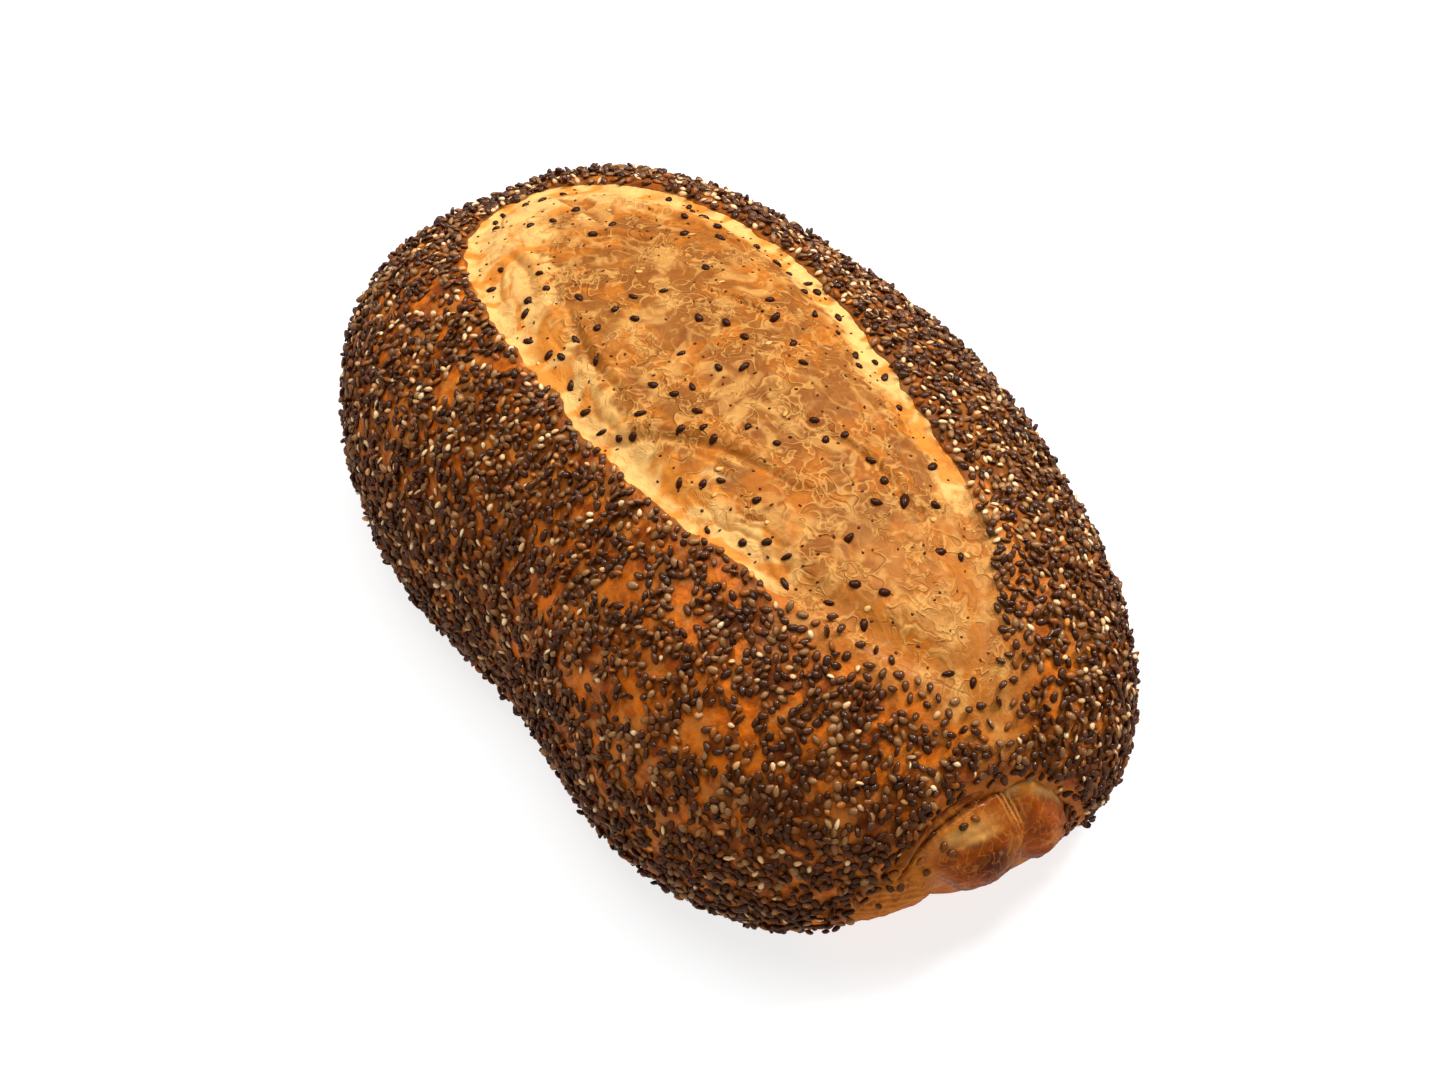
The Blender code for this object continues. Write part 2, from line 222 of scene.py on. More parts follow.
# Folds of the opened dough: start and end in plan, how far the middle bows, height and width
SCORE_FOLDS = (
    ((0.004, -0.0350), (0.043, -0.0100), 0.0035, 0.0012, 0.0020),
    ((-0.033, -0.0200), (0.004, -0.0255), -0.0020, 0.0009, 0.0015),
    ((-0.056, -0.0080), (-0.036, 0.0080), 0.0020, 0.0008, 0.0014),
    ((-0.016, 0.0050), (0.004, 0.0120), 0.0010, 0.0008, 0.0013),
    ((0.030, 0.0010), (0.058, 0.0090), 0.0020, 0.0008, 0.0016),
    ((-0.060, 0.0100), (-0.020, 0.0220), 0.0030, 0.0007, 0.0020),
    ((-0.062, -0.0200), (-0.040, -0.0240), 0.0020, 0.0007, 0.0016),
)
FOLD_SAMPLES = 60

# Creases along the score's edge, as depths inside it, and the pale band beside it
SCORE_STRANDS = (0.0050, 0.0078, 0.0105, 0.0135)
SCORE_STRAND_WIDTH = 0.0006
SCORE_BAND_WAISTED = 0.018
SCORE_BAND_ROUND = 0.011
BAND_WANDER = 0.006
BAND_WANDER_SIZE = 0.013

# How the band narrows to the seam end and widens to the plain end: share, start and run along X
BAND_NARROWING = (0.45, 0.03, 0.05)
BAND_WIDENING = (1.1, -0.015, 0.060)

# The score's narrow end, where it runs out into plain crust: start, length and the margin beside it
TIP_FROM = 0.048
TIP_RUN = 0.030
TIP_MARGIN = 0.008

# Sizes of the unevenness of the crust and of the score, and how the two dive under each other
NOISE_GAIN = 1.6
RAGGED_WAVE = 0.0085
RAGGED_TONGUE = 0.0034
CRUST_LUMP_SIZE = 0.017
CRUST_GRAIN_SIZE = 0.005
SCORE_LUMP_SIZE = 0.014
SCORE_GRAIN_SIZE = 0.0055
CURL_PATCH = 0.016
CURL_SIZE = 0.0042
SMALL_CURL_SIZE = 0.0028
FOOT_FADE = 0.004
EDGE_SLOPE = 1.1
CRUST_DIVE = 0.0035
CRUST_STEP = 0.0015
CRUST_STEP_IN = 0.004
SCORE_DIVE = 0.003

# Curled lines in the score's colours, first the painted shadows and then the painted highlights: level and
# width in each of two noises, and strength
CURL_LINES = ((0.570, 0.060, 0.585, 0.070, 0.72), (0.50, 0.050, 0.50, 0.060, 1.0))

# The least height of a seed's middle and of its lowest point, so that none reaches below the foot
SEED_FLOOR = 0.0021
SEED_CLEARANCE = 0.00005

# Kinds of crust seed: name, share of the whole, its colour, the colour that it varies to, and its size
SEED_KINDS = (
    ("seeds_charcoal", 0.24, "seed_charcoal", "seed_dark", 1.0),
    ("seeds_dark_brown", 0.28, "seed_dark", "seed_charcoal", 1.0),
    ("seeds_grey_brown", 0.25, "seed_grey", "seed_dark", 1.0),
    ("seeds_red_brown", 0.17, "seed_red", "seed_dark", 0.96),
    ("seeds_cream", 0.12, "seed_cream", "band_gold", 0.76),
)

# How crust seeds are thinned in channels and on plain skin, and how the upper and the lower ones lie
SEED_TRIES = 70000
CHANNEL_SHARE = 0.03
LONE_SHARE = 0.30
UPPER_SHARE = 0.30
UPPER_HEIGHT = 0.85
LOWER_HEIGHT = 0.25
UPPER_LEAN = 0.60
LOWER_LEAN = 0.36

# Clumps of seeds: size and strength of two noises, what bare places take off, and where seeds begin
CLUMP_SIZE = 0.0043
CLUMP_STRENGTH = 0.95
CLUMP_WAVE_SIZE = 0.017
CLUMP_WAVE_STRENGTH = 0.18
CLUMP_BASE = 0.62
CLUMP_LEVEL = 0.38
CLUMP_SHARPNESS = 4.0
BARE_THINNING = 1.10

# Loose things on the score: name, tries, spacing, size, flatness, sink, lean, two colours, pull to the edge
STRAY_KINDS = (
    ("score_seeds", 125, 0.0034, 0.98, 1.0, 0.10, 0.14, "seed_black_and_shade", "seed_charcoal", 0.8),
    ("score_specks", 300, 0.0017, 0.32, 1.0, 0.10, 0.20, "seed_black_and_shade", "score_brown_and_shadow", 0.3),
    ("score_flakes", 22, 0.0060, 0.75, 0.35, 0.05, 0.10, "score_pale_and_highlight", "band_pale", 0.2),
)

# The floor lies a hair below the foot; the camera's sensor is in millimetres
FLOOR_GAP = 0.00005
SENSOR_WIDTH = 36.0
CAMERA_REACH = (0.01, 50.0)

# Lamps: name, height over the target, way back and way right as the camera sees it, and side
LAMPS = (("key_light", 0.95, -0.22, -0.10, 0.9), ("glint_light", 0.75, -0.25, 0.55, 0.22))

# Places where the crust shows between its seeds: centre, reach and how bare it is
BARE_PATCHES = (
    ((0.053, -0.065, 0.041), 0.015, 0.20),
    ((0.058, -0.059, 0.053), 0.013, 0.32),
    ((0.071, -0.052, 0.056), 0.015, 0.32),
    ((0.039, -0.052, 0.063), 0.016, 0.28),
    ((0.020, -0.055, 0.059), 0.016, 0.22),
    ((0.076, -0.060, 0.041), 0.015, 0.22),
    ((0.094, -0.012, 0.057), 0.016, 0.28),
    ((0.097, 0.008, 0.055), 0.013, 0.18),
    ((0.084, 0.015, 0.063), 0.012, 0.08),
    ((-0.040, -0.057, 0.056), 0.013, 0.18),
    ((-0.056, -0.043, 0.063), 0.012, 0.20),
)


def srgb(red, green, blue):
    """A colour as a picture gives it, turned into light."""
    parts = np.array([red, green, blue]) / 255
    return tuple(np.where(parts < 0.04045, parts / 12.92, ((parts + 0.055) / 1.055) ** 2.4).tolist())


def number_property(name, description, default, **more):
    """A number of at least 0 that the user may change."""
    return bpy.props.FloatProperty(name=name, description=description, default=default, min=0.0, **more)


def length_property(name, description, default):
    """A length that the user may change."""
    return number_property(name, description, default, precision=5, unit="LENGTH")


def colour_property(name, description, *parts):
    """A colour that the user may change: red, green and blue as a picture gives them."""
    return bpy.props.FloatVectorProperty(
        name=name, description=description, default=srgb(*parts), size=3, min=0.0, max=1.0, subtype="COLOR"
    )


class BreadSizes(bpy.types.PropertyGroup):
    """Sizes of the fine shapes."""

    seed_length: length_property("Seed length", "Length of a seed", 0.00265)
    seed_width: length_property("Seed width", "Width of a seed", 0.00165)
    seed_thickness: length_property("Seed thickness", "Thickness of a seed", 0.00105)
    seed_spacing: length_property("Seed spacing", "Least distance between seeds side by side", 0.00138)
    crust_inset: length_property("Crust inset", "How far the skin lies below the tops of the seeds", 0.0006)
    crust_lumps: length_property("Crust lumps", "Height of the crust's soft unevenness", 0.00045)
    score_lumps: length_property("Score lumps", "Height of the opened dough's unevenness", 0.00070)
    score_curls: length_property("Score curls", "Height of the opened dough's fine curled lines", 0.00024)
    edge_raggedness: length_property("Edge raggedness", "How far the score's edge wanders", 0.0013)
    cream_share: number_property("Cream share", "Share of pale seeds", 0.12, max=1.0, subtype="FACTOR")


class BreadColours(bpy.types.PropertyGroup):
    """Colours of the crust, the opened dough and the seeds."""

    crust_brown: colour_property("Crust brown", "Baked crust between the seeds", 140, 62, 8)
    crust_orange: colour_property("Crust orange", "Glossy crust where it shows", 219, 110, 16)
    crust_tan: colour_property("Crust tan", "Paler crust near the score", 197, 119, 47)
    foot_brown: colour_property("Foot brown", "The flat foot", 172, 106, 48)
    band_pale: colour_property("Pale band", "Dough opened last, along the score's edges", 235, 182, 106)
    band_gold: colour_property("Golden band", "Golden patches in the pale band", 216, 132, 46)
    score_tan: colour_property("Score tan", "Middle of the score", 143, 83, 27)
    # Score brown is also the painted brown shadow beside the curled lines.
    score_brown_and_shadow: colour_property("Score brown", "Browned patches and creases in the score", 126, 66, 18)
    score_orange: colour_property("Score orange", "Orange patches and folds in the score", 184, 102, 22)
    tip_tan: colour_property("Tip tan", "Plain skin at the score's narrow end", 170, 102, 38)
    # Score light is a pale dough colour, and also the painted highlight of the curled lines, the curls' tops
    # and the rolled seam's streaks and lump edge.
    score_pale_and_highlight: colour_property("Score light", "Tops of the fine curls", 212, 156, 82)
    seam_tan: colour_property("Seam tan", "Thin skin of the rolled seam", 184, 102, 24)
    seam_orange: colour_property("Seam orange", "Glossy cheek of the rolled seam", 160, 72, 0)
    seam_brown: colour_property("Seam brown", "Dark top of the rolled seam", 68, 22, 1)
    seed_charcoal: colour_property("Charcoal seeds", "Darkest seeds", 60, 32, 13)
    seed_dark: colour_property("Dark brown seeds", "Dark brown seeds", 102, 57, 25)
    seed_grey: colour_property("Grey-brown seeds", "Grey-brown seeds", 166, 117, 67)
    seed_red: colour_property("Red-brown seeds", "Red-brown seeds", 164, 90, 26)
    seed_cream: colour_property("Cream seeds", "Pale seeds", 255, 222, 168)
    # Seed rims: the own dark of the loose seeds and specks, and also the painted shade on each seed's lower
    # side and on the skin between packed seeds.
    seed_black_and_shade: colour_property("Seed rims", "Dark lower side of each seed", 54, 20, 2)


class BreadStage(bpy.types.PropertyGroup):
    """The camera, the lights and the floor."""

    azimuth: bpy.props.FloatProperty(
        name="Azimuth", description="Turn of the camera round the loaf", default=math.radians(57.6933),
        subtype="ANGLE", unit="ROTATION",
    )
    elevation: bpy.props.FloatProperty(
        name="Elevation", description="Height angle of the camera", default=math.radians(45.0),
        subtype="ANGLE", unit="ROTATION",
    )
    distance: length_property("Distance", "From the camera to the place that it looks at", 0.760)
    lens: number_property("Lens", "Focal length in millimetres", 86.18, unit="CAMERA")
    target: bpy.props.FloatVectorProperty(
        name="Target", description="Place that the camera looks at", default=(0.0084822, -0.0081161, 0.030),
        size=3, subtype="TRANSLATION", unit="LENGTH",
    )
    sky: number_property("Sky", "Strength of the even white light", 0.28)
    key: number_property("Key light", "Power of the large overhead light", 10.3, unit="POWER")
    glint: number_property("Glint light", "Power of the small light for the glints", 7.5, unit="POWER")
    floor_colour: bpy.props.FloatVectorProperty(
        name="Floor colour", description="The plain pale floor", default=(0.31, 0.31, 0.31), size=3,
        min=0.0, max=1.0, subtype="COLOR",
    )
    floor_glow: number_property("Floor glow", "Light that the floor gives off to soften shadows", 0.79)
    floor_size: length_property("Floor size", "Side of the floor", 8.0)


def signed_power(value, power):
    """A power that keeps the sign of its base."""
    return np.sign(value) * np.abs(value) ** power


def bump(place, middle, spread):
    """A bell of height 1 round a place."""
    return np.exp(-(((place - middle) / spread) ** 2))


def ease(value):
    """A smooth step: 0 below 0, 1 above 1, with no corner at either."""
    value = np.clip(value, 0, 1)
    return value * value * (3 - 2 * value)


def flank_sides(x):
    """How far each flank reaches at a place along X: the waisted one and the round one."""
    waisted = WAISTED_FLANK * (1 - WAIST_DEPTH * bump(x, *WAIST))
    rounded = ROUND_FLANK * (1 + SWELL_DEPTH * bump(x, *SWELL))
    return waisted, rounded


def end_power(cosine):
    """How square the plan is: it changes smoothly from the plain end to the seam end."""
    return PLAIN_END_POWER + (SEAM_END_POWER - PLAIN_END_POWER) * 0.5 * (1 + np.tanh(END_BLEND * cosine))


def plan(angle, reach):
    """Plan x, y in a direction, at a share of the way out: a superellipse with unlike ends and sides."""
    cosine, sine = np.cos(angle), np.sin(angle)
    power = end_power(cosine)
    along = reach * signed_power(cosine, 2 / power)
    x = HALF_LENGTH * along
    waisted, rounded = flank_sides(x)
    side = np.where(sine > 0, rounded, waisted)
    y = side * reach * signed_power(sine, 2 / power) * (1 + WIDTH_GAIN * along)
    return x, y + SIDE_BOW * (1 - along**2)


def crown_rise(crown, along):
    """Height above the widest line for a share of the crown, a little uneven along the loaf."""
    slope = 1 + HEIGHT_GAIN * along + HEIGHT_ARCH * along**2
    return WIDEST_HEIGHT + (HEIGHT - WIDEST_HEIGHT) * crown * slope


def dome(angle, polar):
    """Upper crust: polar is 0 at the top and a quarter turn at the widest line."""
    x, y = plan(angle, np.sin(polar) ** (2 / SHOULDER_POWER))
    crown = np.clip(np.cos(polar), 0, 1) ** (2 / CROWN_POWER)
    return np.stack([x, y, crown_rise(crown, x / HALF_LENGTH)], -1)


def crown_height(x, y):
    """Height of the upper crust over a plan place: the dome's formula turned round, settled in six rounds."""
    along = x / HALF_LENGTH
    offset = y - SIDE_BOW * (1 - along**2)
    waisted, rounded = flank_sides(x)
    across = np.abs(offset) / (np.where(offset > 0, rounded, waisted) * (1 + WIDTH_GAIN * along))
    power = np.full_like(x, 0.5 * (PLAIN_END_POWER + SEAM_END_POWER))
    for _ in range(6):
        total = np.maximum(np.abs(along) ** power + across**power, 1e-12)
        power = end_power(np.sign(x) * np.sqrt(np.abs(along) ** power / total))
    reach = np.clip(total ** (1 / power), 0, 0.9999)
    crown = (1 - reach**SHOULDER_POWER) ** (1 / CROWN_POWER)
    return crown_rise(crown, along)


def tuck(angle, fall):
    """Below the widest line: fall is 0 there and a quarter turn at the foot's edge."""
    rim_x, rim_y = plan(angle, np.ones_like(angle))
    under_seam = np.where(rim_x > 0, bump(rim_y, *SEAM_TUCK_PLACE), 0)
    x, y = plan(angle, 1 - (FOOT_TUCK + SEAM_TUCK * under_seam) * (1 - np.cos(fall)))
    return np.stack([x, y, WIDEST_HEIGHT * (1 - np.sin(fall)) + 0 * x], -1)


def taper(size, powers):
    """A width that falls from 1 to 0 as size goes from 0 to 1."""
    return (1 - size ** powers[0]) ** powers[1]


def score_sides(x):
    """The score's two edges, as y on the waisted and on the round side, at places along X."""
    along = np.clip((x - SCORE_MIDDLE) / SCORE_HALF, -1, 1)
    size = np.abs(along)
    plain_end = along < 0
    waisted = np.where(
        plain_end, taper(size, SCORE_PLAIN_END_WAISTED), taper(size, SCORE_SEAM_END_WAISTED)
    )
    rounded = np.where(plain_end, taper(size, SCORE_PLAIN_END_ROUND), taper(size, SCORE_SEAM_END_ROUND))
    narrowing = 0.5 * (1 + np.tanh(SCORE_NARROWING * along))
    round_side = SCORE_ROUND_SIDE_FAR + (SCORE_ROUND_SIDE_NEAR - SCORE_ROUND_SIDE_FAR) * narrowing
    return -SCORE_WAISTED_SIDE * waisted, round_side * rounded


def in_score(x, y):
    """Whether plan points lie inside the score's outline."""
    low, high = score_sides(x)
    return (np.abs(x - SCORE_MIDDLE) < SCORE_HALF) & (y > low) & (y < high)


def score_polar(angle):
    """The polar angle at which each direction leaves the score, by halving the gap."""
    inner = np.zeros_like(angle)
    outer = np.full_like(angle, 0.5 * math.pi)
    for _ in range(HALVINGS):
        middle = 0.5 * (inner + outer)
        point = dome(angle, middle)
        inside = in_score(point[..., 0], point[..., 1])
        inner = np.where(inside, middle, inner)
        outer = np.where(inside, outer, middle)
    return 0.5 * (inner + outer)


def even_angles(count):
    """Directions whose plan points are evenly spaced round the rim."""
    fine = np.linspace(0, 2 * math.pi, RIM_SAMPLES)
    x, y = plan(fine, np.ones_like(fine))
    run = np.concatenate([[0], np.cumsum(np.hypot(np.diff(x), np.diff(y)))])
    return np.interp(np.arange(count) / count * run[-1], run, fine)


@functools.lru_cache(maxsize=None)
def score_map():
    """How far each place of a plan grid lies inside the score's outline; outside it is negative."""
    turn = np.linspace(0, math.pi, OUTLINE_SAMPLES)
    x = SCORE_MIDDLE - SCORE_HALF * np.cos(turn)
    low, high = score_sides(x)
    outline_x = np.concatenate([x, x[::-1]])
    outline_y = np.concatenate([low, high[::-1]])
    grid_x = np.arange(CAD_BOX[0][0] - 0.004, CAD_BOX[1][0] + 0.005, MAP_STEP)
    grid_y = np.arange(CAD_BOX[0][1] - 0.004, CAD_BOX[1][1] + 0.005, MAP_STEP)
    rows = [
        np.sqrt(((grid_x[:, None] - outline_x) ** 2 + (place - outline_y) ** 2).min(-1)) for place in grid_y
    ]
    distance = np.array(rows).T
    inside = in_score(grid_x[:, None] + 0 * grid_y, grid_y[None, :] + 0 * grid_x[:, None])
    return grid_x, grid_y, np.where(inside, distance, -distance)


def between(values, first, second, u, v):
    """Values of a grid read between its places: shares u and v of the way past the two indices."""
    near = values[first, second] * (1 - u) + values[first + 1, second] * u
    far = values[first, second + 1] * (1 - u) + values[first + 1, second + 1] * u
    return near * (1 - v) + far * v


def inside_score(x, y):
    """Distance inside the score's outline, read between the places of its map."""
    grid_x, grid_y, distance = score_map()
    column = np.clip((x - grid_x[0]) / MAP_STEP, 0, len(grid_x) - 1.001)
    row = np.clip((y - grid_y[0]) / MAP_STEP, 0, len(grid_y) - 1.001)
    left, near = np.floor(column).astype(int), np.floor(row).astype(int)
    return between(distance, left, near, column - left, row - near)


def lattice(points, draw):
    """Noise from about -1 to 1: a random slope at each whole-number corner, blended smoothly between."""
    slopes = np.random.default_rng(draw).normal(size=(4096, 3))
    slopes /= np.linalg.norm(slopes, axis=1, keepdims=True)
    cell = np.floor(points).astype(np.int64)
    inside = points - cell
    blend = inside**3 * (inside * (inside * 6 - 15) + 10)
    total = np.zeros(points.shape[:-1])
    for corner in itertools.product((0, 1), repeat=3):
        place = cell + corner
        key = place[..., 0] * 73856093 + place[..., 1] * 19349663 + place[..., 2] * 83492791
        key = (key ^ (key >> 13)) * 1274126177
        slope = slopes[(key ^ (key >> 16)) & 4095]
        weight = np.prod(np.where(corner, blend, 1 - blend), axis=-1)
        total += weight * np.sum(slope * (inside - corner), axis=-1)
    return NOISE_GAIN * total


def rough(points, size, draw, octaves=3):
    """Noise of several sizes, each half as large and half as strong as the one before."""
    layers = [lattice(points * 2**step / size, draw + step) / 2**step for step in range(octaves)]
    return sum(layers) / (2 - 0.5 ** (octaves - 1))


def curls(points, size, draw):
    """Fine curled lines, 1 on a line and 0 away from it: the zero line of a noise bent by another noise."""
    bend = np.stack([lattice(points / (1.9 * size), draw + step) for step in (1, 2, 3)], -1)
    value = lattice((points + 0.9 * size * bend) / size, draw)
    return 1 - ease(np.abs(value) * 4.0)


def ragged(point, amount):
    """How far the score's edge wanders at a place: short tongues on a longer wave."""
    flat = point * (1, 1, 0.3)
    return amount * (0.9 * lattice(flat / RAGGED_WAVE, 21) + 0.7 * lattice(flat / RAGGED_TONGUE, 22))


def width_share(x):
    """1 where the score is wide, falling to 0 at its tips, where its relief fades out."""
    low, high = score_sides(x)
    return np.clip((high - low) / SCORE_TIP_WIDTH, 0, 1)


def score_relief(x, inside):
    """Main relief across the score's edge: a groove just inside it and a lip outside it."""
    groove = -SCORE_GROOVE * bump(inside, SCORE_GROOVE_IN, SCORE_GROOVE_SPREAD)
    lip = SCORE_LIP * bump(inside, -SCORE_LIP_OUT, SCORE_LIP_OUT)
    return (groove + lip) * width_share(x)


def arch(y):
    """Height of the arch over the rolled seam, below which the end is bare."""
    across = np.clip((y - ARCH_MIDDLE) / ARCH_HALF, -1, 1)
    return ARCH_HEIGHT * np.sqrt(1 - across**2)


def end_relief(point):
    """How far the +X end stands out: a lip along the arch and a hollow under it."""
    x, y, z = np.moveaxis(point, -1, 0)
    at_end = np.clip((x / HALF_LENGTH - END_FACE_FROM) / (END_FACE_FULL - END_FACE_FROM), 0, 1)
    spanned = np.clip(1 - ((y - ARCH_MIDDLE) / ARCH_HALF) ** 2, 0, 1)
    below = arch(y) - z
    lip = ARCH_LIP * bump(below, -ARCH_SOFTNESS, ARCH_SOFTNESS)
    above_foot = np.clip((z - HOLLOW_FLOOR) / HOLLOW_RISE, 0, 1)
    hollow = -ARCH_HOLLOW * above_foot * 0.5 * (1 + np.tanh(below / ARCH_SOFTNESS))
    return at_end * (lip + hollow) * np.sqrt(spanned)


def outward(grid):
    """Outward directions on closed rings: the slope from ring to ring crossed with that round each."""
    around = np.roll(grid, -1, axis=1) - np.roll(grid, 1, axis=1)
    normal = np.cross(np.gradient(grid, axis=0), around)
    return normal / np.maximum(np.linalg.norm(normal, axis=-1, keepdims=True), 1e-12)


def ring_faces(rings, around):
    """Faces of closed rings joined one to the next, with a point at each end: quads, then triangles."""
    ring, turn = np.meshgrid(np.arange(rings - 1), np.arange(around), indexing="ij")
    following = (turn + 1) % around
    first, second = ring * around, (ring + 1) * around
    quads = np.stack([first + turn, second + turn, second + following, first + following], -1)
    turn = np.arange(around)
    following = (turn + 1) % around
    start, end = rings * around, rings * around + 1
    last = (rings - 1) * around
    opening = np.stack([np.full(around, start), turn, following], -1)
    closing = np.stack([np.full(around, end), last + following, last + turn], -1)
    return quads.reshape(-1, 4), np.concatenate([opening, closing])


def fill_mesh(name, points, face_groups):
    """A mesh from arrays: points, and groups of faces with equal numbers of corners."""
    corners = np.concatenate([group.ravel() for group in face_groups])
    sizes = np.concatenate([np.full(len(group), group.shape[1]) for group in face_groups])
    mesh = bpy.data.meshes.new(name)
    mesh.vertices.add(len(points))
    mesh.vertices.foreach_set("co", points.astype(np.float32).ravel())
    mesh.loops.add(len(corners))
    mesh.loops.foreach_set("vertex_index", corners.astype(np.int32))
    mesh.polygons.add(len(sizes))
    mesh.polygons.foreach_set("loop_start", (np.cumsum(sizes) - sizes).astype(np.int32))
    mesh.update(calc_edges=True)
    if mesh.validate():
        raise RuntimeError(f"{name}: the mesh had faces that had to be mended")
    mesh.shade_smooth()
    return mesh


def ring_mesh(name, grid, start, end):
    """A closed mesh from rings of points and the two points that close its ends."""
    points = np.concatenate([grid.reshape(-1, 3), [start], [end]])
    return fill_mesh(name, points, ring_faces(*grid.shape[:2]))


def set_field(mesh, name, values, ends=0.0):
    """Store one number for each point as an attribute; the closing points get the value given."""
    full = np.full(len(mesh.vertices), ends, dtype=np.float32)
    flat = np.asarray(values, dtype=np.float32).ravel()
    full[: len(flat)] = flat
    mesh.attributes.new(name, "FLOAT", "POINT").data.foreach_set("value", full)


def place_piece(name, mesh, material, replaces=False):
    """Link a finished mesh as a piece that rides on the loaf's body."""
    piece = bpy.data.objects.new(name, mesh)
    bpy.context.scene.collection.objects.link(piece)
    mesh.materials.append(material)
    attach(piece, BODY)
    if replaces:
        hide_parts("loaf")


def bareness(point):
    """How bare the crust is at each place, from 0 to 1: soft patches round named centres."""
    total = np.zeros(point.shape[:-1])
    for centre, reach, amount in BARE_PATCHES:
        distance = np.linalg.norm(point - np.array(centre), axis=-1)
        total = np.maximum(total, amount * bump(distance, 0, reach))
    return total


def tip_share(x):
    """1 at the score's narrow end, where the opened dough runs out into plain tan crust."""
    return ease((x - TIP_FROM) / TIP_RUN)


def under_arch(point, softness):
    """1 on the bare end below the arch and 0 elsewhere."""
    x, y, z = np.moveaxis(point, -1, 0)
    return (x > END_FACE_FROM * HALF_LENGTH) * ease(0.5 + 0.5 * (arch(y) - z) / softness)


def crust_grid(sizes):
    """The crust as rings from under the score, over its edge and down the flanks to the foot's middle."""
    angle = even_angles(CRUST_AROUND)
    edge = score_polar(angle)
    polar = [edge * share for share in HIDDEN_SHARES]
    polar += [edge + share * (0.5 * math.pi - edge) for share in (*EDGE_RINGS, *FLANK_RINGS)]
    upper = dome(angle, np.array(polar))
    lower = np.array([tuck(angle, np.full_like(angle, share * 0.5 * math.pi)) for share in TUCK_RINGS])
    foot = np.array([lower[-1] * share for share in FOOT_SHARES])
    grid = np.concatenate([upper, lower, foot])
    grid[..., 0] += end_relief(grid)
    place, spread_y, height, spread_z, depth = WALL_DENT
    dent = depth * bump(grid[..., 1], place, spread_y) * bump(grid[..., 2], height, spread_z)
    grid[..., 0] -= dent * (grid[..., 0] > 0.5 * HALF_LENGTH)
    top = len(upper)
    inside = np.full(grid.shape[:2], -1.0)
    inside[:top] = inside_score(upper[..., 0], upper[..., 1])
    inside[:top] += ragged(upper, sizes.edge_raggedness)
    grid[:top, :, 2] += score_relief(upper[..., 0], inside[:top])
    normal = outward(grid)
    standing = ease(grid[..., 2] / FOOT_FADE)
    lumps = rough(grid, CRUST_LUMP_SIZE, 31) + 0.35 * rough(grid, CRUST_GRAIN_SIZE, 35)
    level = tip_share(grid[..., 0]) * ease(1 + inside / TIP_MARGIN)
    lift = sizes.crust_lumps * lumps * (1 - level) - sizes.crust_inset
    grid += normal * (lift * standing)[..., None]
    grid[..., 2] -= np.clip(inside * EDGE_SLOPE, 0, CRUST_DIVE) + CRUST_STEP * (inside > CRUST_STEP_IN)
    grid[..., 2] = np.maximum(grid[..., 2], 0)
    grid[-len(foot) - 1:, :, 2] = 0.0
    return grid, inside


@functools.lru_cache(maxsize=None)
def crust_surface():
    """The finished crust's grid, its outward directions and its distance inside the score."""
    grid, inside = crust_grid(bpy.context.scene.bread_sizes)
    return grid, outward(grid), inside


def fold_profile(x, y, fold):
    """One fold of the dough: distance from a bowed line, as a ridge and the crease along one side of it."""
    start, end, bow, height, width = fold
    share = np.linspace(0, 1, FOLD_SAMPLES)
    way_x, way_y = end[0] - start[0], end[1] - start[1]
    across = np.array([-way_y, way_x]) / math.hypot(way_x, way_y)
    bowed = bow * np.sin(math.pi * share)
    gap_x = x[..., None] - (start[0] + way_x * share + across[0] * bowed)
    gap_y = y[..., None] - (start[1] + way_y * share + across[1] * bowed)
    distance = np.hypot(gap_x, gap_y)
    nearest = distance.argmin(-1)[..., None]
    gap, side_x, side_y = (np.take_along_axis(part, nearest, -1)[..., 0] for part in (distance, gap_x, gap_y))
    side = side_x * across[0] + side_y * across[1]
    fade = np.sin(math.pi * np.clip(share[nearest[..., 0]], 0.04, 0.96)) ** 0.5
    signed = np.where(side > 0, gap, -gap)
    ridge = height * fade * bump(signed, 0.35 * width, width)
    crease = -0.8 * height * fade * bump(signed, -1.0 * width, 0.5 * width)
    glow = fade * bump(signed, -0.2 * width, 1.3 * width) * bump(gap, 0, 2.2 * width)
    return ridge + crease, glow


def strands(flat, depth):
    """Creases that run along the score's edge: thin lines at set depths inside it, broken by noise."""
    total = np.zeros(depth.shape)
    for step, place in enumerate(SCORE_STRANDS):
        drift = 0.0016 * rough(flat, 0.012, 80 + step, 2)
        gate = ease(0.35 + 2.2 * lattice(flat / 0.019, 90 + step))
        total = np.maximum(total, gate * bump(depth + drift, place, SCORE_STRAND_WIDTH))
    return total


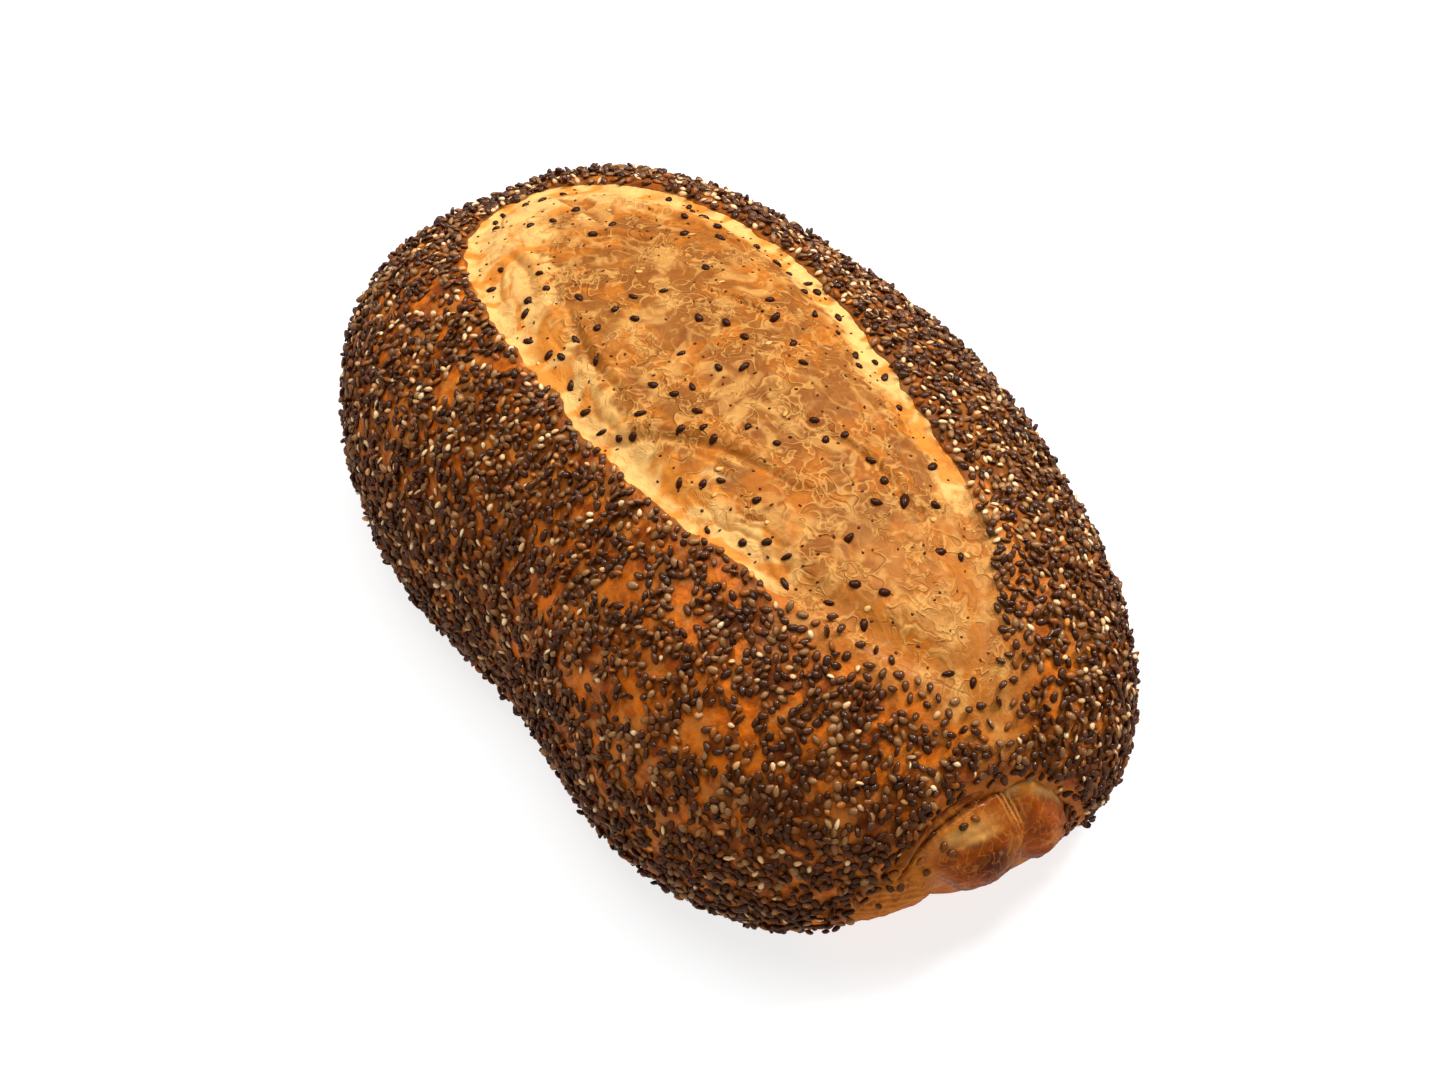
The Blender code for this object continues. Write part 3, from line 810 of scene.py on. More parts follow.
@functools.lru_cache(maxsize=None)
def score_surface():
    """The opened score as strips across it, and its fields.

    The fields are the plain middle, the folds' glow, the curls, the distance inside and the narrow end.
    """
    sizes = bpy.context.scene.bread_sizes
    turn = np.linspace(-0.5 * math.pi, 0.5 * math.pi, SCORE_COLUMNS)
    spaced = 0.55 * np.sin(turn) + 0.45 * turn / (0.5 * math.pi)
    x = SCORE_MIDDLE + (SCORE_HALF + SCORE_PAD) * spaced
    low, high = score_sides(x)
    share = np.linspace(0, 1, SCORE_ROWS)
    y = (low - SCORE_PAD)[:, None] + (high - low + 2 * SCORE_PAD)[:, None] * share
    x = x[:, None] + 0 * y
    flat = np.stack([x, y, 0 * x], -1)
    outline = inside_score(x, y)
    inside = outline + ragged(np.stack([x, y, crown_height(x, y)], -1), sizes.edge_raggedness)
    tip = tip_share(x)
    wander = BAND_WANDER * rough(flat, BAND_WANDER_SIZE, 41)
    band = np.where(y < 0, SCORE_BAND_WAISTED, SCORE_BAND_ROUND)
    amount, start, run = BAND_NARROWING
    band = band * (1 - amount * ease((x - start) / run))
    amount, start, run = BAND_WIDENING
    band *= 1 + amount * ease((start - x) / run)
    core = np.maximum(ease((outline + wander) / band), tip_share(x + 0.2 * wander))
    settled = 0.35 + 0.65 * core
    wave = SCORE_WAVE * np.sin(y / SCORE_WAVE_ACROSS) * np.sin(x / SCORE_WAVE_ALONG + 1.0)
    lumps = 0.8 * rough(flat, SCORE_LUMP_SIZE, 43) + 0.4 * rough(flat, SCORE_GRAIN_SIZE, 47)
    curl_fade = settled * ease(0.5 + 1.3 * rough(flat, CURL_PATCH, 51))
    curl = curls(flat, CURL_SIZE, 53) * curl_fade + 0.5 * curls(flat, SMALL_CURL_SIZE, 57) * curl_fade
    strand = strands(flat, outline + wander)
    lift = wave * core + sizes.score_lumps * lumps * settled + sizes.score_curls * (curl - 1.6 * strand)
    glow = 0.8 * strand
    for fold in SCORE_FOLDS:
        relief, shine = fold_profile(x, y, fold)
        lift += relief
        glow = np.maximum(glow, shine)
    lift *= 1 - tip * (1 - ease(outline / TIP_MARGIN))
    z = crown_height(x, y) + score_relief(x, inside) + lift
    z -= sizes.crust_inset * (1 - ease(outline / 0.010)) + 0.0002 * (1 - tip)
    z -= np.clip(-inside * EDGE_SLOPE, 0, SCORE_DIVE)
    grid = np.stack([x, y, z], -1)
    return grid, {"core": core, "fold": glow, "curl": curl, "inside": inside, "tip": tip}


def seam_reach(y):
    """How far the plan reaches along +X at a side position."""
    angle = np.linspace(-0.5 * math.pi, 0.5 * math.pi, RIM_SAMPLES)
    rim_x, rim_y = plan(angle, np.ones_like(angle))
    return np.interp(y, rim_y, rim_x)


def ends_fade(place, start, end, rise, fall):
    """1 between two ends, falling smoothly to 0 at each over its own length."""
    return ease((place - start) / rise) * ease((end - place) / fall)


def above_line(side, angle, line):
    """How far places on the roll lie past a line of it, measured round the roll."""
    return SEAM_RADIUS * (angle - np.radians(np.interp(side, *np.array(line).T)))


def spot(side, angle, place):
    """1 at a spot of the roll, given by its place along Y and its turn in degrees, each with its spread."""
    middle, reach, turn, turn_reach = place
    return bump(side, middle, reach) * bump(angle, math.radians(turn), math.radians(turn_reach))


def seam_spindle():
    """A spindle along Y: the middles of its rings, their radii, how full each is, and the turns round it."""
    along = np.sin(np.linspace(-0.5 * math.pi, 0.5 * math.pi, SEAM_RINGS + 2))[1:-1]
    fullness = taper(np.abs(along), SEAM_FULLNESS)
    swell = (SEAM_RADIUS - SEAM_TIP_RADIUS) * fullness
    y = 0.5 * (SEAM_LEFT + SEAM_RIGHT) + 0.5 * (SEAM_RIGHT - SEAM_LEFT) * along
    x = seam_reach(y) + SEAM_PROUD * fullness - SEAM_TIP_SINK * (1 - fullness)
    x -= SEAM_TIP_RADIUS + swell
    z = SEAM_TIP_HEIGHT + (SEAM_HEIGHT - SEAM_TIP_HEIGHT) * fullness
    turn = np.arange(SEAM_AROUND) / SEAM_AROUND * 2 * math.pi
    return np.stack([x, y, z], -1), SEAM_TIP_RADIUS * (1 - along**8) + swell, fullness, turn


@functools.lru_cache(maxsize=None)
def seam_surface():
    """The rolled seam: the spindle with its drape, swelling, valley, crease, flap, notch and fine lines.

    Each pattern is at most about 1 and is laid on by its own height. The fields say how roasted, how
    dark and how pale each place is; the dark field holds painted shade on the roll's underside, and the
    pale one painted highlights on the valley's streaks and along the lump's upper edge.
    """
    middle, radius, fullness, turn = seam_spindle()
    facing = np.stack([np.cos(turn), 0 * turn, np.sin(turn)], -1)
    grid = middle[:, None, :] + radius[:, None, None] * facing
    side = middle[:, 1:2] + 0 * grid[..., 2]
    angle = np.where(turn > math.pi, turn - 2 * math.pi, turn) + 0 * side
    over = above_line(side, angle, SEAM_CREASE) + 0.0005 * lattice(grid / 0.005, 67)
    spanned = ends_fade(side, SEAM_CREASE[0][0], SEAM_CREASE[-1][0] + 0.0025, 0.003, 0.003)
    flap = bump(above_line(side, angle, SEAM_FLAP), 0, 0.0017)
    valley = side - SEAM_VALLEY + 0.0035 * np.clip(angle - 0.6, -0.35, 1.0)
    neck = side - SEAM_NECK + 0.0056 * angle
    streaks = np.sin((side + 0.0030 * angle) / STREAK_SPACING) * bump(valley, -0.0012, 0.0026)
    stretch = 0.014 * angle + 0.35 * side + 0.0008 * lattice(grid / 0.006, 66)
    blisters = ease(2.4 * lattice(grid / 0.0016, 65) - 0.5)
    patterns = {
        "drape": bump(angle, *SEAM_DRAPE) * fullness[:, None],
        "lumps": rough(grid, SEAM_LUMP_SIZE, 61),
        "grain": rough(grid, SEAM_GRAIN_SIZE, 63),
        "valley": bump(valley, 0, 0.0020),
        "shoulder": bump(valley, 0.0058, 0.0040),
        "swelling": spot(side, angle, SEAM_SWELLING),
        "strip": spanned * bump(over, 0.0024, 0.0016),
        "crease": spanned * bump(over, 0, 0.0006),
        "flap": flap * ends_fade(side, SEAM_FLAP[0][0], SEAM_FLAP[-1][0], 0.002, 0.003),
        "neck": bump(neck, 0, 0.0022) * ease((math.radians(50) - angle) / 0.6),
        "streaks": streaks * ease((angle - math.radians(12)) / 0.5),
        "stretch": np.sin(stretch / STRETCH_SPACING) * ease(-neck / 0.004),
        "blisters": blisters * spot(side, angle, SEAM_BLISTERS),
    }
    lift = sum(SEAM_HEIGHTS[name] * pattern for name, pattern in patterns.items())
    lift += sum(height * spot(side, angle, place) for height, *place in SEAM_UNDERSIDE)
    fade = np.minimum(1, radius / (0.35 * SEAM_RADIUS))[:, None]
    grid = grid + facing * (lift * fade)[..., None]
    roast = ease((neck + 0.001) / 0.004)
    # Painted shade: the downward side of the roasted roll is darkened.
    under = ease((math.radians(-2) - angle) / 0.5) * roast
    far_end = ease((side - 0.0105) / 0.003) * ease(0.6 + 1.6 * lattice(grid / 0.0028, 68))
    lump, window, rim = (spot(side, angle, place) for place in (SEAM_LUMP, SEAM_WINDOW, SEAM_HIGHLIGHT))
    crease, strip = patterns["crease"], patterns["strip"]
    dark = np.maximum.reduce((0.95 * crease, 0.50 * strip, 0.95 * lump, 0.55 * under, 0.60 * far_end))
    # Painted highlights: the valley's streaks and the spot along the lump's upper edge are lightened; the
    # flap and the window are the thin dough's own pale colour.
    light = np.maximum.reduce((0.90 * ease(patterns["streaks"]), patterns["flap"], 0.80 * window, 0.85 * rim))
    ends = middle[0] - (0, 0.0006, 0), middle[-1] + (0, 0.0006, 0)
    return grid, ends, {"roast": roast, "dark": dark, "light": light * (1 - crease)}


def seed_template():
    """A unit seed: an egg-shaped oval of three staggered rings of eight points, closed above and below."""
    angles = np.radians([58.0, 18.0, -26.0])
    turn = np.arange(8) / 8 * 2 * math.pi
    rings = []
    for index, latitude in enumerate(angles):
        place = turn + (index % 2) * math.pi / 8
        x = np.cos(latitude) * np.cos(place)
        y = np.cos(latitude) * np.sin(place) * (1 - 0.22 * x)
        rings.append(np.stack([x, y, np.full(8, math.sin(latitude))], -1))
    quads, triangles = ring_faces(3, 8)
    split = np.concatenate([quads[:, [0, 1, 2]], quads[:, [0, 2, 3]], triangles])
    points = np.concatenate([np.concatenate(rings), [[0, 0, 1]], [[0, 0, -1]]])
    return 0.5 * points, split


def seed_frames(normal, draw, lean):
    """Axes for seeds that lie on a surface, each turned its own way and leaning by a random angle."""
    tilt = draw.normal(size=normal.shape) * lean[:, None]
    up = normal + tilt
    up /= np.linalg.norm(up, axis=1, keepdims=True)
    helper = draw.normal(size=normal.shape)
    ahead = helper - np.sum(helper * up, axis=1, keepdims=True) * up
    ahead /= np.linalg.norm(ahead, axis=1, keepdims=True)
    return np.stack([ahead, np.cross(up, ahead), up], axis=1)


def seed_mesh(name, centre, frames, size, tone):
    """Many seeds as one mesh: the unit seed scaled, turned, moved to each centre and held above the foot."""
    template, faces = seed_template()
    points = np.einsum("nij,njk->nik", template[None] * size[:, None, :], frames) + centre[:, None, :]
    points[..., 2] += np.maximum(0, SEED_CLEARANCE - points[..., 2].min(axis=1))[:, None]
    offsets = np.arange(len(centre)) * len(template)
    corners = faces[None] + offsets[:, None, None]
    mesh = fill_mesh(name, points.reshape(-1, 3), [corners.reshape(-1, 3)])
    set_field(mesh, "tone", np.repeat(tone, len(template)))
    # Height within each seed, from 0 below to 1 above, which the material uses to paint shade on the lower
    # side.
    set_field(mesh, "crest", np.tile(0.5 + template[:, 2], len(centre)))
    return mesh


def scatter(grid, normal, weight, count, draw):
    """Random places on a grid surface, as many per area as the weight says, with their directions."""
    corner = grid[:-1, :-1]
    area = np.linalg.norm(np.cross(grid[1:, :-1] - corner, grid[:-1, 1:] - corner), axis=-1)
    chance = np.cumsum((area * weight[:-1, :-1]).ravel())
    cell = np.searchsorted(chance, draw.random(count) * chance[-1])
    inside = (*np.unravel_index(cell, area.shape), *draw.random((2, count, 1)))
    direction = between(normal, *inside)
    return between(grid, *inside), direction / np.linalg.norm(direction, axis=1, keepdims=True)


def spread(points, spacing):
    """Which points stay when each in turn clears away those that lie nearer to it than its spacing."""
    tree = KDTree(len(points))
    for index, point in enumerate(points):
        tree.insert(point, index)
    tree.balance()
    free = np.ones(len(points), dtype=bool)
    kept = []
    for index, point in enumerate(points):
        if free[index]:
            kept.append(index)
            free[[found for _, found, _ in tree.find_range(point, spacing[index])]] = False
    return np.array(kept)


class Nodes:
    """A short way to lay out a material's nodes."""

    def __init__(self, name, roughness, coat=0.0, coat_roughness=0.3, specular=0.5):
        self.material = bpy.data.materials.new(name)
        self.material.use_nodes = True
        self.tree = self.material.node_tree
        self.shader = self.tree.nodes["Principled BSDF"]
        self.shader.inputs["Roughness"].default_value = roughness
        self.shader.inputs["Coat Weight"].default_value = coat
        self.shader.inputs["Coat Roughness"].default_value = coat_roughness
        self.shader.inputs["Specular IOR Level"].default_value = specular
        self.place = self.add("TexCoord", {}, "Object")

    def add(self, kind, inputs, output, **settings):
        """One node with its settings and inputs; it gives the output asked for."""
        node = self.tree.nodes.new("ShaderNode" + kind)
        for name, value in settings.items():
            setattr(node, name, value)
        for name, value in inputs.items():
            self.wire(value, node.inputs[name])
        return node.outputs[output]

    def wire(self, value, socket):
        """Link a socket, or set a plain number, vector or colour."""
        if isinstance(value, bpy.types.NodeSocket):
            self.tree.links.new(value, socket)
        else:
            socket.default_value = (*value, 1.0) if socket.type == "RGBA" else value

    def noise(self, size, detail=3.0, distortion=0.0, stretch=(1, 1, 1), shift=0.0):
        """Cloudy noise whose patches are about the size given."""
        moved = {"Vector": self.place, "Scale": stretch, "Location": (shift, shift, shift)}
        place = self.add("Mapping", moved, "Vector")
        inputs = {"Vector": place, "Scale": 1 / size, "Detail": detail, "Distortion": distortion}
        return self.add("TexNoise", inputs, "Fac")

    def field(self, name):
        """A number stored on the piece's points."""
        return self.add("Attribute", {}, "Fac", attribute_name=name)

    def ramp(self, value, low, high, first=0.0, last=1.0):
        """A value stretched smoothly from one range to another."""
        inputs = {"Value": value, "From Min": low, "From Max": high, "To Min": first, "To Max": last}
        return self.add("MapRange", inputs, "Result", interpolation_type="SMOOTHSTEP")

    def clouds(self, size, low, high, detail=2.0, distortion=0.8, shift=0.0):
        """Soft patches: noise whose levels from low to high become 0 to 1."""
        return self.ramp(self.noise(size, detail, distortion, shift=shift), low, high)

    def contour(self, value, level, width):
        """Thin lines where a value passes a level: 1 on the line and 0 a width away from it."""
        gap = self.sum("ABSOLUTE", self.sum("SUBTRACT", value, level), 0.0)
        return self.ramp(gap, 0.0, width, 1.0, 0.0)

    def sum(self, operation, first, second):
        """Plain arithmetic on two values."""
        return self.add("Math", {0: first, 1: second}, "Value", operation=operation)

    def blend(self, factor, first, second):
        """Two colours mixed by a factor."""
        return self.add("Mix", {"Factor": factor, 6: first, 7: second}, 2, data_type="RGBA")

    def lay(self, cover, share, colour, other):
        """Another colour laid over the first where the cover says, at most by the share."""
        return self.blend(self.sum("MULTIPLY", cover, share), colour, other)

    def dents(self, height, depth, strength):
        """Fine relief from a height, in metres."""
        inputs = {"Height": height, "Distance": depth, "Strength": strength}
        self.wire(self.add("Bump", inputs, "Normal"), self.shader.inputs["Normal"])

    def painted(self, colour):
        """The material, with its base colour set."""
        self.wire(colour, self.shader.inputs["Base Color"])
        return self.material


def curled(nodes, colour, strength, colours):
    """Curled lines laid over a colour, on the pattern that stretched dough has: a painted highlight along
    each line, with a painted brown shadow beside it.
    """
    swirl = nodes.noise(0.0050, 1, 0.9, shift=0.9)
    loops = nodes.noise(0.0031, 1, 1.0, shift=1.3)
    first = nodes.ramp(nodes.noise(0.0110, 1, shift=1.7), 0.42, 0.58, 0.15, 1.0)
    second = nodes.ramp(nodes.noise(0.0090, 1, shift=2.1), 0.44, 0.60, 0.10, 1.0)
    lines = []
    for level, width, loop_level, loop_width, share in CURL_LINES:
        large = nodes.sum("MULTIPLY", nodes.contour(swirl, level, width), first)
        small = nodes.sum("MULTIPLY", nodes.contour(loops, loop_level, loop_width), second)
        both = nodes.sum("MAXIMUM", large, small)
        lines.append(nodes.sum("MULTIPLY", both, nodes.sum("MULTIPLY", strength, share)))
    # The first lines are painted shadow, the second painted highlight.
    dark, light = lines
    colour = nodes.blend(dark, colour, colours.score_brown_and_shadow)
    return nodes.blend(light, colour, colours.score_pale_and_highlight), light, dark


def tan_skin(nodes, colours):
    """Pale tan skin at the score's narrow end, in soft patches of tan, gold and orange."""
    colour = nodes.lay(nodes.clouds(0.009, 0.45, 0.60, shift=0.6), 0.7, colours.tip_tan, colours.score_orange)
    pale = nodes.clouds(0.0075, 0.50, 0.66, distortion=0.6, shift=0.2)
    return nodes.lay(pale, 0.6, colour, colours.score_pale_and_highlight)


def crust_material(colours):
    """Glossy baked crust: brown to orange in clouds, tan near the score, matt and floury on the foot, with
    painted shade where seeds lie packed and painted curled highlights and shadows on the pale skin.
    """
    nodes = Nodes("seeded_crust", 0.36, coat=0.03, coat_roughness=0.12, specular=0.09)
    foot, pale = nodes.field("foot"), nodes.field("pale")
    colour = nodes.blend(nodes.clouds(0.0060, 0.42, 0.60, 4, 0.0), colours.crust_brown, colours.crust_orange)
    colour = nodes.blend(nodes.ramp(nodes.field("bare"), 0.12, 0.50), colour, colours.crust_orange)
    colour = nodes.blend(nodes.field("band"), colour, colours.seam_tan)
    colour = nodes.lay(nodes.clouds(0.0026, 0.44, 0.66, 3, 0.6), 0.50, colour, colours.crust_brown)
    colour = nodes.lay(nodes.clouds(0.0070, 0.50, 0.62, 2, 0.6, 0.8), 0.60, colour, colours.crust_tan)
    veins = nodes.contour(nodes.noise(0.0050, 1, 0.8, shift=0.4), 0.5, 0.06)
    colour = nodes.lay(veins, 0.35, colour, colours.crust_tan)
    colour = nodes.blend(pale, colour, tan_skin(nodes, colours))
    # Painted shade: where seeds lie packed, the skin is darkened towards the seeds' dark colour as shade
    # between them.
    seed_gap_shade = nodes.ramp(nodes.field("seed_gap_shade"), 0.45, 0.95, 0.0, 0.55)
    colour = nodes.blend(seed_gap_shade, colour, colours.seed_black_and_shade)
    # Painted highlights and shadows of curled lines on the pale skin near the score.
    colour, _, _ = curled(nodes, colour, nodes.ramp(pale, 0.55, 1.0, 0.0, 0.55), colours)
    colour = nodes.blend(foot, colour, colours.foot_brown)
    flour = nodes.sum("MULTIPLY", nodes.clouds(0.007, 0.45, 0.7, 5, 0.0), foot)
    colour = nodes.lay(flour, 0.5, colour, colours.crust_tan)
    matt = nodes.ramp(nodes.sum("MAXIMUM", foot, pale), 0, 1, 0.36, 0.62)
    nodes.wire(matt, nodes.shader.inputs["Roughness"])
    nodes.dents(nodes.sum("ADD", nodes.noise(0.0014, 3), nodes.noise(0.0042, 2, 0.8)), 0.00035, 0.9)
    return nodes.painted(colour)


def score_material(colours):
    """Opened dough: pale bands at its edges, a patchy tan middle, and curled lines over both, painted as
    highlights with painted brown shadows beside them, and painted highlights on the curls' tops.
    """
    nodes = Nodes("opened_score", 0.52, specular=0.09)
    core = nodes.field("core")
    band = nodes.blend(nodes.clouds(0.010, 0.46, 0.60), colours.band_pale, colours.band_gold)
    middle = colours.score_tan
    for size, low, high, shift, share, other in (
        (0.011, 0.47, 0.58, 0.3, 0.75, colours.score_orange),
        (0.0070, 0.50, 0.64, 0.5, 0.60, colours.score_brown_and_shadow),
        (0.0080, 0.52, 0.66, 0.7, 0.60, colours.score_pale_and_highlight),
    ):
        middle = nodes.lay(nodes.clouds(size, low, high, shift=shift), share, middle, other)
    edge = nodes.sum("ADD", core, nodes.ramp(nodes.noise(0.0050, 2, 0.8), 0.3, 0.7, -0.22, 0.22))
    colour = nodes.blend(nodes.ramp(edge, 0.30, 0.75), band, middle)
    colour = nodes.blend(nodes.ramp(nodes.field("tip"), 0.0, 1.0), colour, tan_skin(nodes, colours))
    colour = nodes.lay(nodes.clouds(0.0036, 0.50, 0.66, 1), 0.25, colour, colours.score_brown_and_shadow)
    colour = nodes.lay(nodes.field("fold"), 0.60, colour, colours.score_orange)
    colour, light, dark = curled(nodes, colour, nodes.ramp(core, 0.1, 0.7, 0.20, 0.62), colours)
    # Painted highlight: the tops of the raised curls are lightened.
    curl = nodes.ramp(nodes.field("curl"), 0.3, 1.0, 0.0, 0.35)
    colour = nodes.blend(curl, colour, colours.score_pale_and_highlight)
    relief = nodes.sum("SUBTRACT", nodes.sum("ADD", light, nodes.noise(0.0030, 2, 0.8)), dark)
    nodes.dents(relief, 0.00024, 0.9)
    return nodes.painted(colour)


def seam_material(colours):
    """Glossy rolled dough: tan on the tail, orange on the cheek, brown where dark, golden where thin, with
    painted golden glints, painted shade on the roll's underside and painted highlights on its streaks and the
    lump's upper edge.
    """
    nodes = Nodes("rolled_seam", 0.24, coat=0.14, coat_roughness=0.05, specular=0.10)
    warm = nodes.lay(nodes.clouds(0.006, 0.42, 0.66, 4, 0.6), 0.30, colours.seam_orange, colours.seam_brown)
    gold = nodes.clouds(0.0050, 0.54, 0.66, 3, 0.6, 0.4)
    warm = nodes.lay(gold, 0.40, warm, colours.band_gold)
    streaks = nodes.ramp(nodes.noise(0.0030, 3, 0.6, (1, 0.25, 1)), 0.46, 0.64)
    tail = nodes.lay(streaks, 0.6, colours.seam_tan, colours.crust_tan)
    colour = nodes.blend(nodes.field("roast"), tail, warm)
    # The dark field includes painted shade on the roll's underside.
    colour = nodes.blend(nodes.field("dark"), colour, colours.seam_brown)
    colour = nodes.lay(nodes.clouds(0.0018, 0.46, 0.70, 4), 0.38, colour, colours.seam_brown)
    glints = nodes.contour(nodes.noise(0.0032, 1, 0.9, shift=0.6), 0.5, 0.05)
    colour = nodes.lay(glints, 0.35, colour, colours.band_gold)
    thin = nodes.blend(gold, colours.score_pale_and_highlight, colours.band_gold)
    # The pale field includes painted highlights on the valley's streaks and the lump's upper edge.
    colour = nodes.blend(nodes.field("light"), colour, thin)
    nodes.dents(nodes.noise(0.0016, 3), 0.00028, 0.8)
    return nodes.painted(colour)


def seed_material(name, colour, other, rim, coat=0.34):
    """Hard smooth seed coat, each seed a little lighter or darker, with painted shade darkening it round its
    lower side.
    """
    nodes = Nodes(name, 0.26, coat=coat, coat_roughness=0.08, specular=0.14)
    shade = nodes.blend(nodes.field("tone"), colour, other)
    shade = nodes.lay(nodes.clouds(0.0006, 0.40, 0.75, 3, 0.0), 0.22, shade, other)
    # Painted shade: the lower side of each seed is darkened towards the rim colour.
    shade = nodes.blend(nodes.ramp(nodes.field("crest"), 0.34, 0.90, 0.90, 0.0), shade, rim)
    nodes.dents(nodes.noise(0.0005, 2), 0.00005, 0.5)
    return nodes.painted(shade)


def floor_material(stage):
    """Plain pale matt floor that glows a little, as a lit tabletop does."""
    nodes = Nodes("pale_floor", 0.9, specular=0.0)
    nodes.wire((1.0, 1.0, 1.0), nodes.shader.inputs["Emission Color"])
    nodes.shader.inputs["Emission Strength"].default_value = stage.floor_glow
    return nodes.painted(stage.floor_colour)


class BREAD_OT_crust(bpy.types.Operator):
    """Build the baked crust with its foot"""

    bl_idname = "bread.crust"
    bl_label = "Crust"

    def execute(self, context):
        """Lay the crust's rings, store its fields and replace the plain solid."""
        grid, _, inside = crust_surface()
        ends = (0.0, 0.0, grid[0, :, 2].min()), (0.0, 0.0, 0.0)
        mesh = ring_mesh("crust", grid, *ends)
        x, y, z = np.moveaxis(grid, -1, 0)
        tip = tip_share(x)
        near_score = (0.5 + 0.5 * tip) * ease(1 + inside / (0.003 + 0.009 * tip))
        round_flank = 0.40 * ease((y - 0.010) / 0.02) * ease((x + 0.02) / 0.05)
        band = under_arch(grid, 0.002)
        # How packed the seeds lie, which darkens the skin between them as painted shade; none on the bare
        # arch.
        packed = crowding(grid) * (1 - band)
        set_field(mesh, "pale", np.clip(np.maximum(near_score, round_flank) * (1 - band), 0, 1))
        set_field(mesh, "band", 0.8 * band)
        set_field(mesh, "bare", bareness(grid))
        set_field(mesh, "seed_gap_shade", packed * (1 - tip * ease(1.4 + inside / TIP_MARGIN)))
        set_field(mesh, "foot", 1 - ease((z - 0.0002) / 0.003), ends=1.0)
        place_piece("crust", mesh, crust_material(context.scene.bread_colours), replaces=True)
        return {"FINISHED"}


class BREAD_OT_score(bpy.types.Operator):
    """Build the opened score along the top"""

    bl_idname = "bread.score"
    bl_label = "Opened score"

    def execute(self, context):
        """Close the score's strips with a keel below them and store its fields."""
        grid, fields = score_surface()
        keel = 0.5 * (grid[:, :1] + grid[:, -1:])
        keel[..., 2] -= 0.006
        closed = np.concatenate([grid, keel], axis=1)
        mesh = ring_mesh("opened_score", closed, closed[0].mean(0), closed[-1].mean(0))
        for name in ("core", "fold", "curl", "tip"):
            values = np.concatenate([fields[name], np.zeros((len(grid), 1))], axis=1)
            set_field(mesh, name, values)
        place_piece("opened_score", mesh, score_material(context.scene.bread_colours), replaces=True)
        return {"FINISHED"}


class BREAD_OT_seam(bpy.types.Operator):
    """Build the rolled seam across one end"""

    bl_idname = "bread.seam"
    bl_label = "Rolled seam"

    def execute(self, context):
        """Lay the spindle's rings and store how roasted, how dark and how pale each place is, painted shade
        and painted highlights among them.
        """
        grid, ends, fields = seam_surface()
        mesh = ring_mesh("rolled_seam", grid, *ends)
        for name, values in fields.items():
            set_field(mesh, name, np.clip(values, 0, 1))
        place_piece("rolled_seam", mesh, seam_material(context.scene.bread_colours), replaces=True)
        return {"FINISHED"}


def seed_size(sizes):
    """Length, width and thickness of a full seed."""
    return np.array([sizes.seed_length, sizes.seed_width, sizes.seed_thickness])


def crowding(point):
    """How thickly seeds lie, from 0 to 1: small clumps with channels between, fewer where it is bare."""
    clumps = CLUMP_BASE + CLUMP_STRENGTH * rough(point, CLUMP_SIZE, 71, 2)
    clumps += CLUMP_WAVE_STRENGTH * rough(point, CLUMP_WAVE_SIZE, 75, 1)
    clumps += 0.22 * ease((point[..., 1] - 0.012) / 0.020)
    return ease(0.5 + CLUMP_SHARPNESS * (clumps - BARE_THINNING * bareness(point) - CLUMP_LEVEL))


def crust_seed_places(sizes, draw):
    """Where the crust's seeds lie: in clumps on the flanks, few at the score's narrow end and the seam."""
    grid, normal, inside = crust_surface()
    x, y, z = np.moveaxis(grid, -1, 0)
    outside = inside < -0.0004
    seam = (x > END_FACE_FROM * HALF_LENGTH) & (z < arch(y) - 0.0018)
    place, direction = scatter(grid, normal, outside * ~seam * (z > SEED_FLOOR), SEED_TRIES, draw)
    x, y, _ = place.T
    lone = tip_share(x) * ease(1.2 + inside_score(x, y) / 0.006)
    lone *= 1 - ease(y / 0.008) * (1 - ease((x - 0.088) / 0.006))
    lone = np.maximum(lone, under_arch(place, 0.0008))
    chance = CHANNEL_SHARE + (1 - CHANNEL_SHARE) * crowding(place)
    kept = draw.random(len(place)) < chance * (1 - lone) + LONE_SHARE * lone
    place, direction, lone = place[kept], direction[kept], lone[kept]
    kept = spread(place, sizes.seed_spacing * (1 + 0.9 * lone))
    return place[kept], direction[kept]


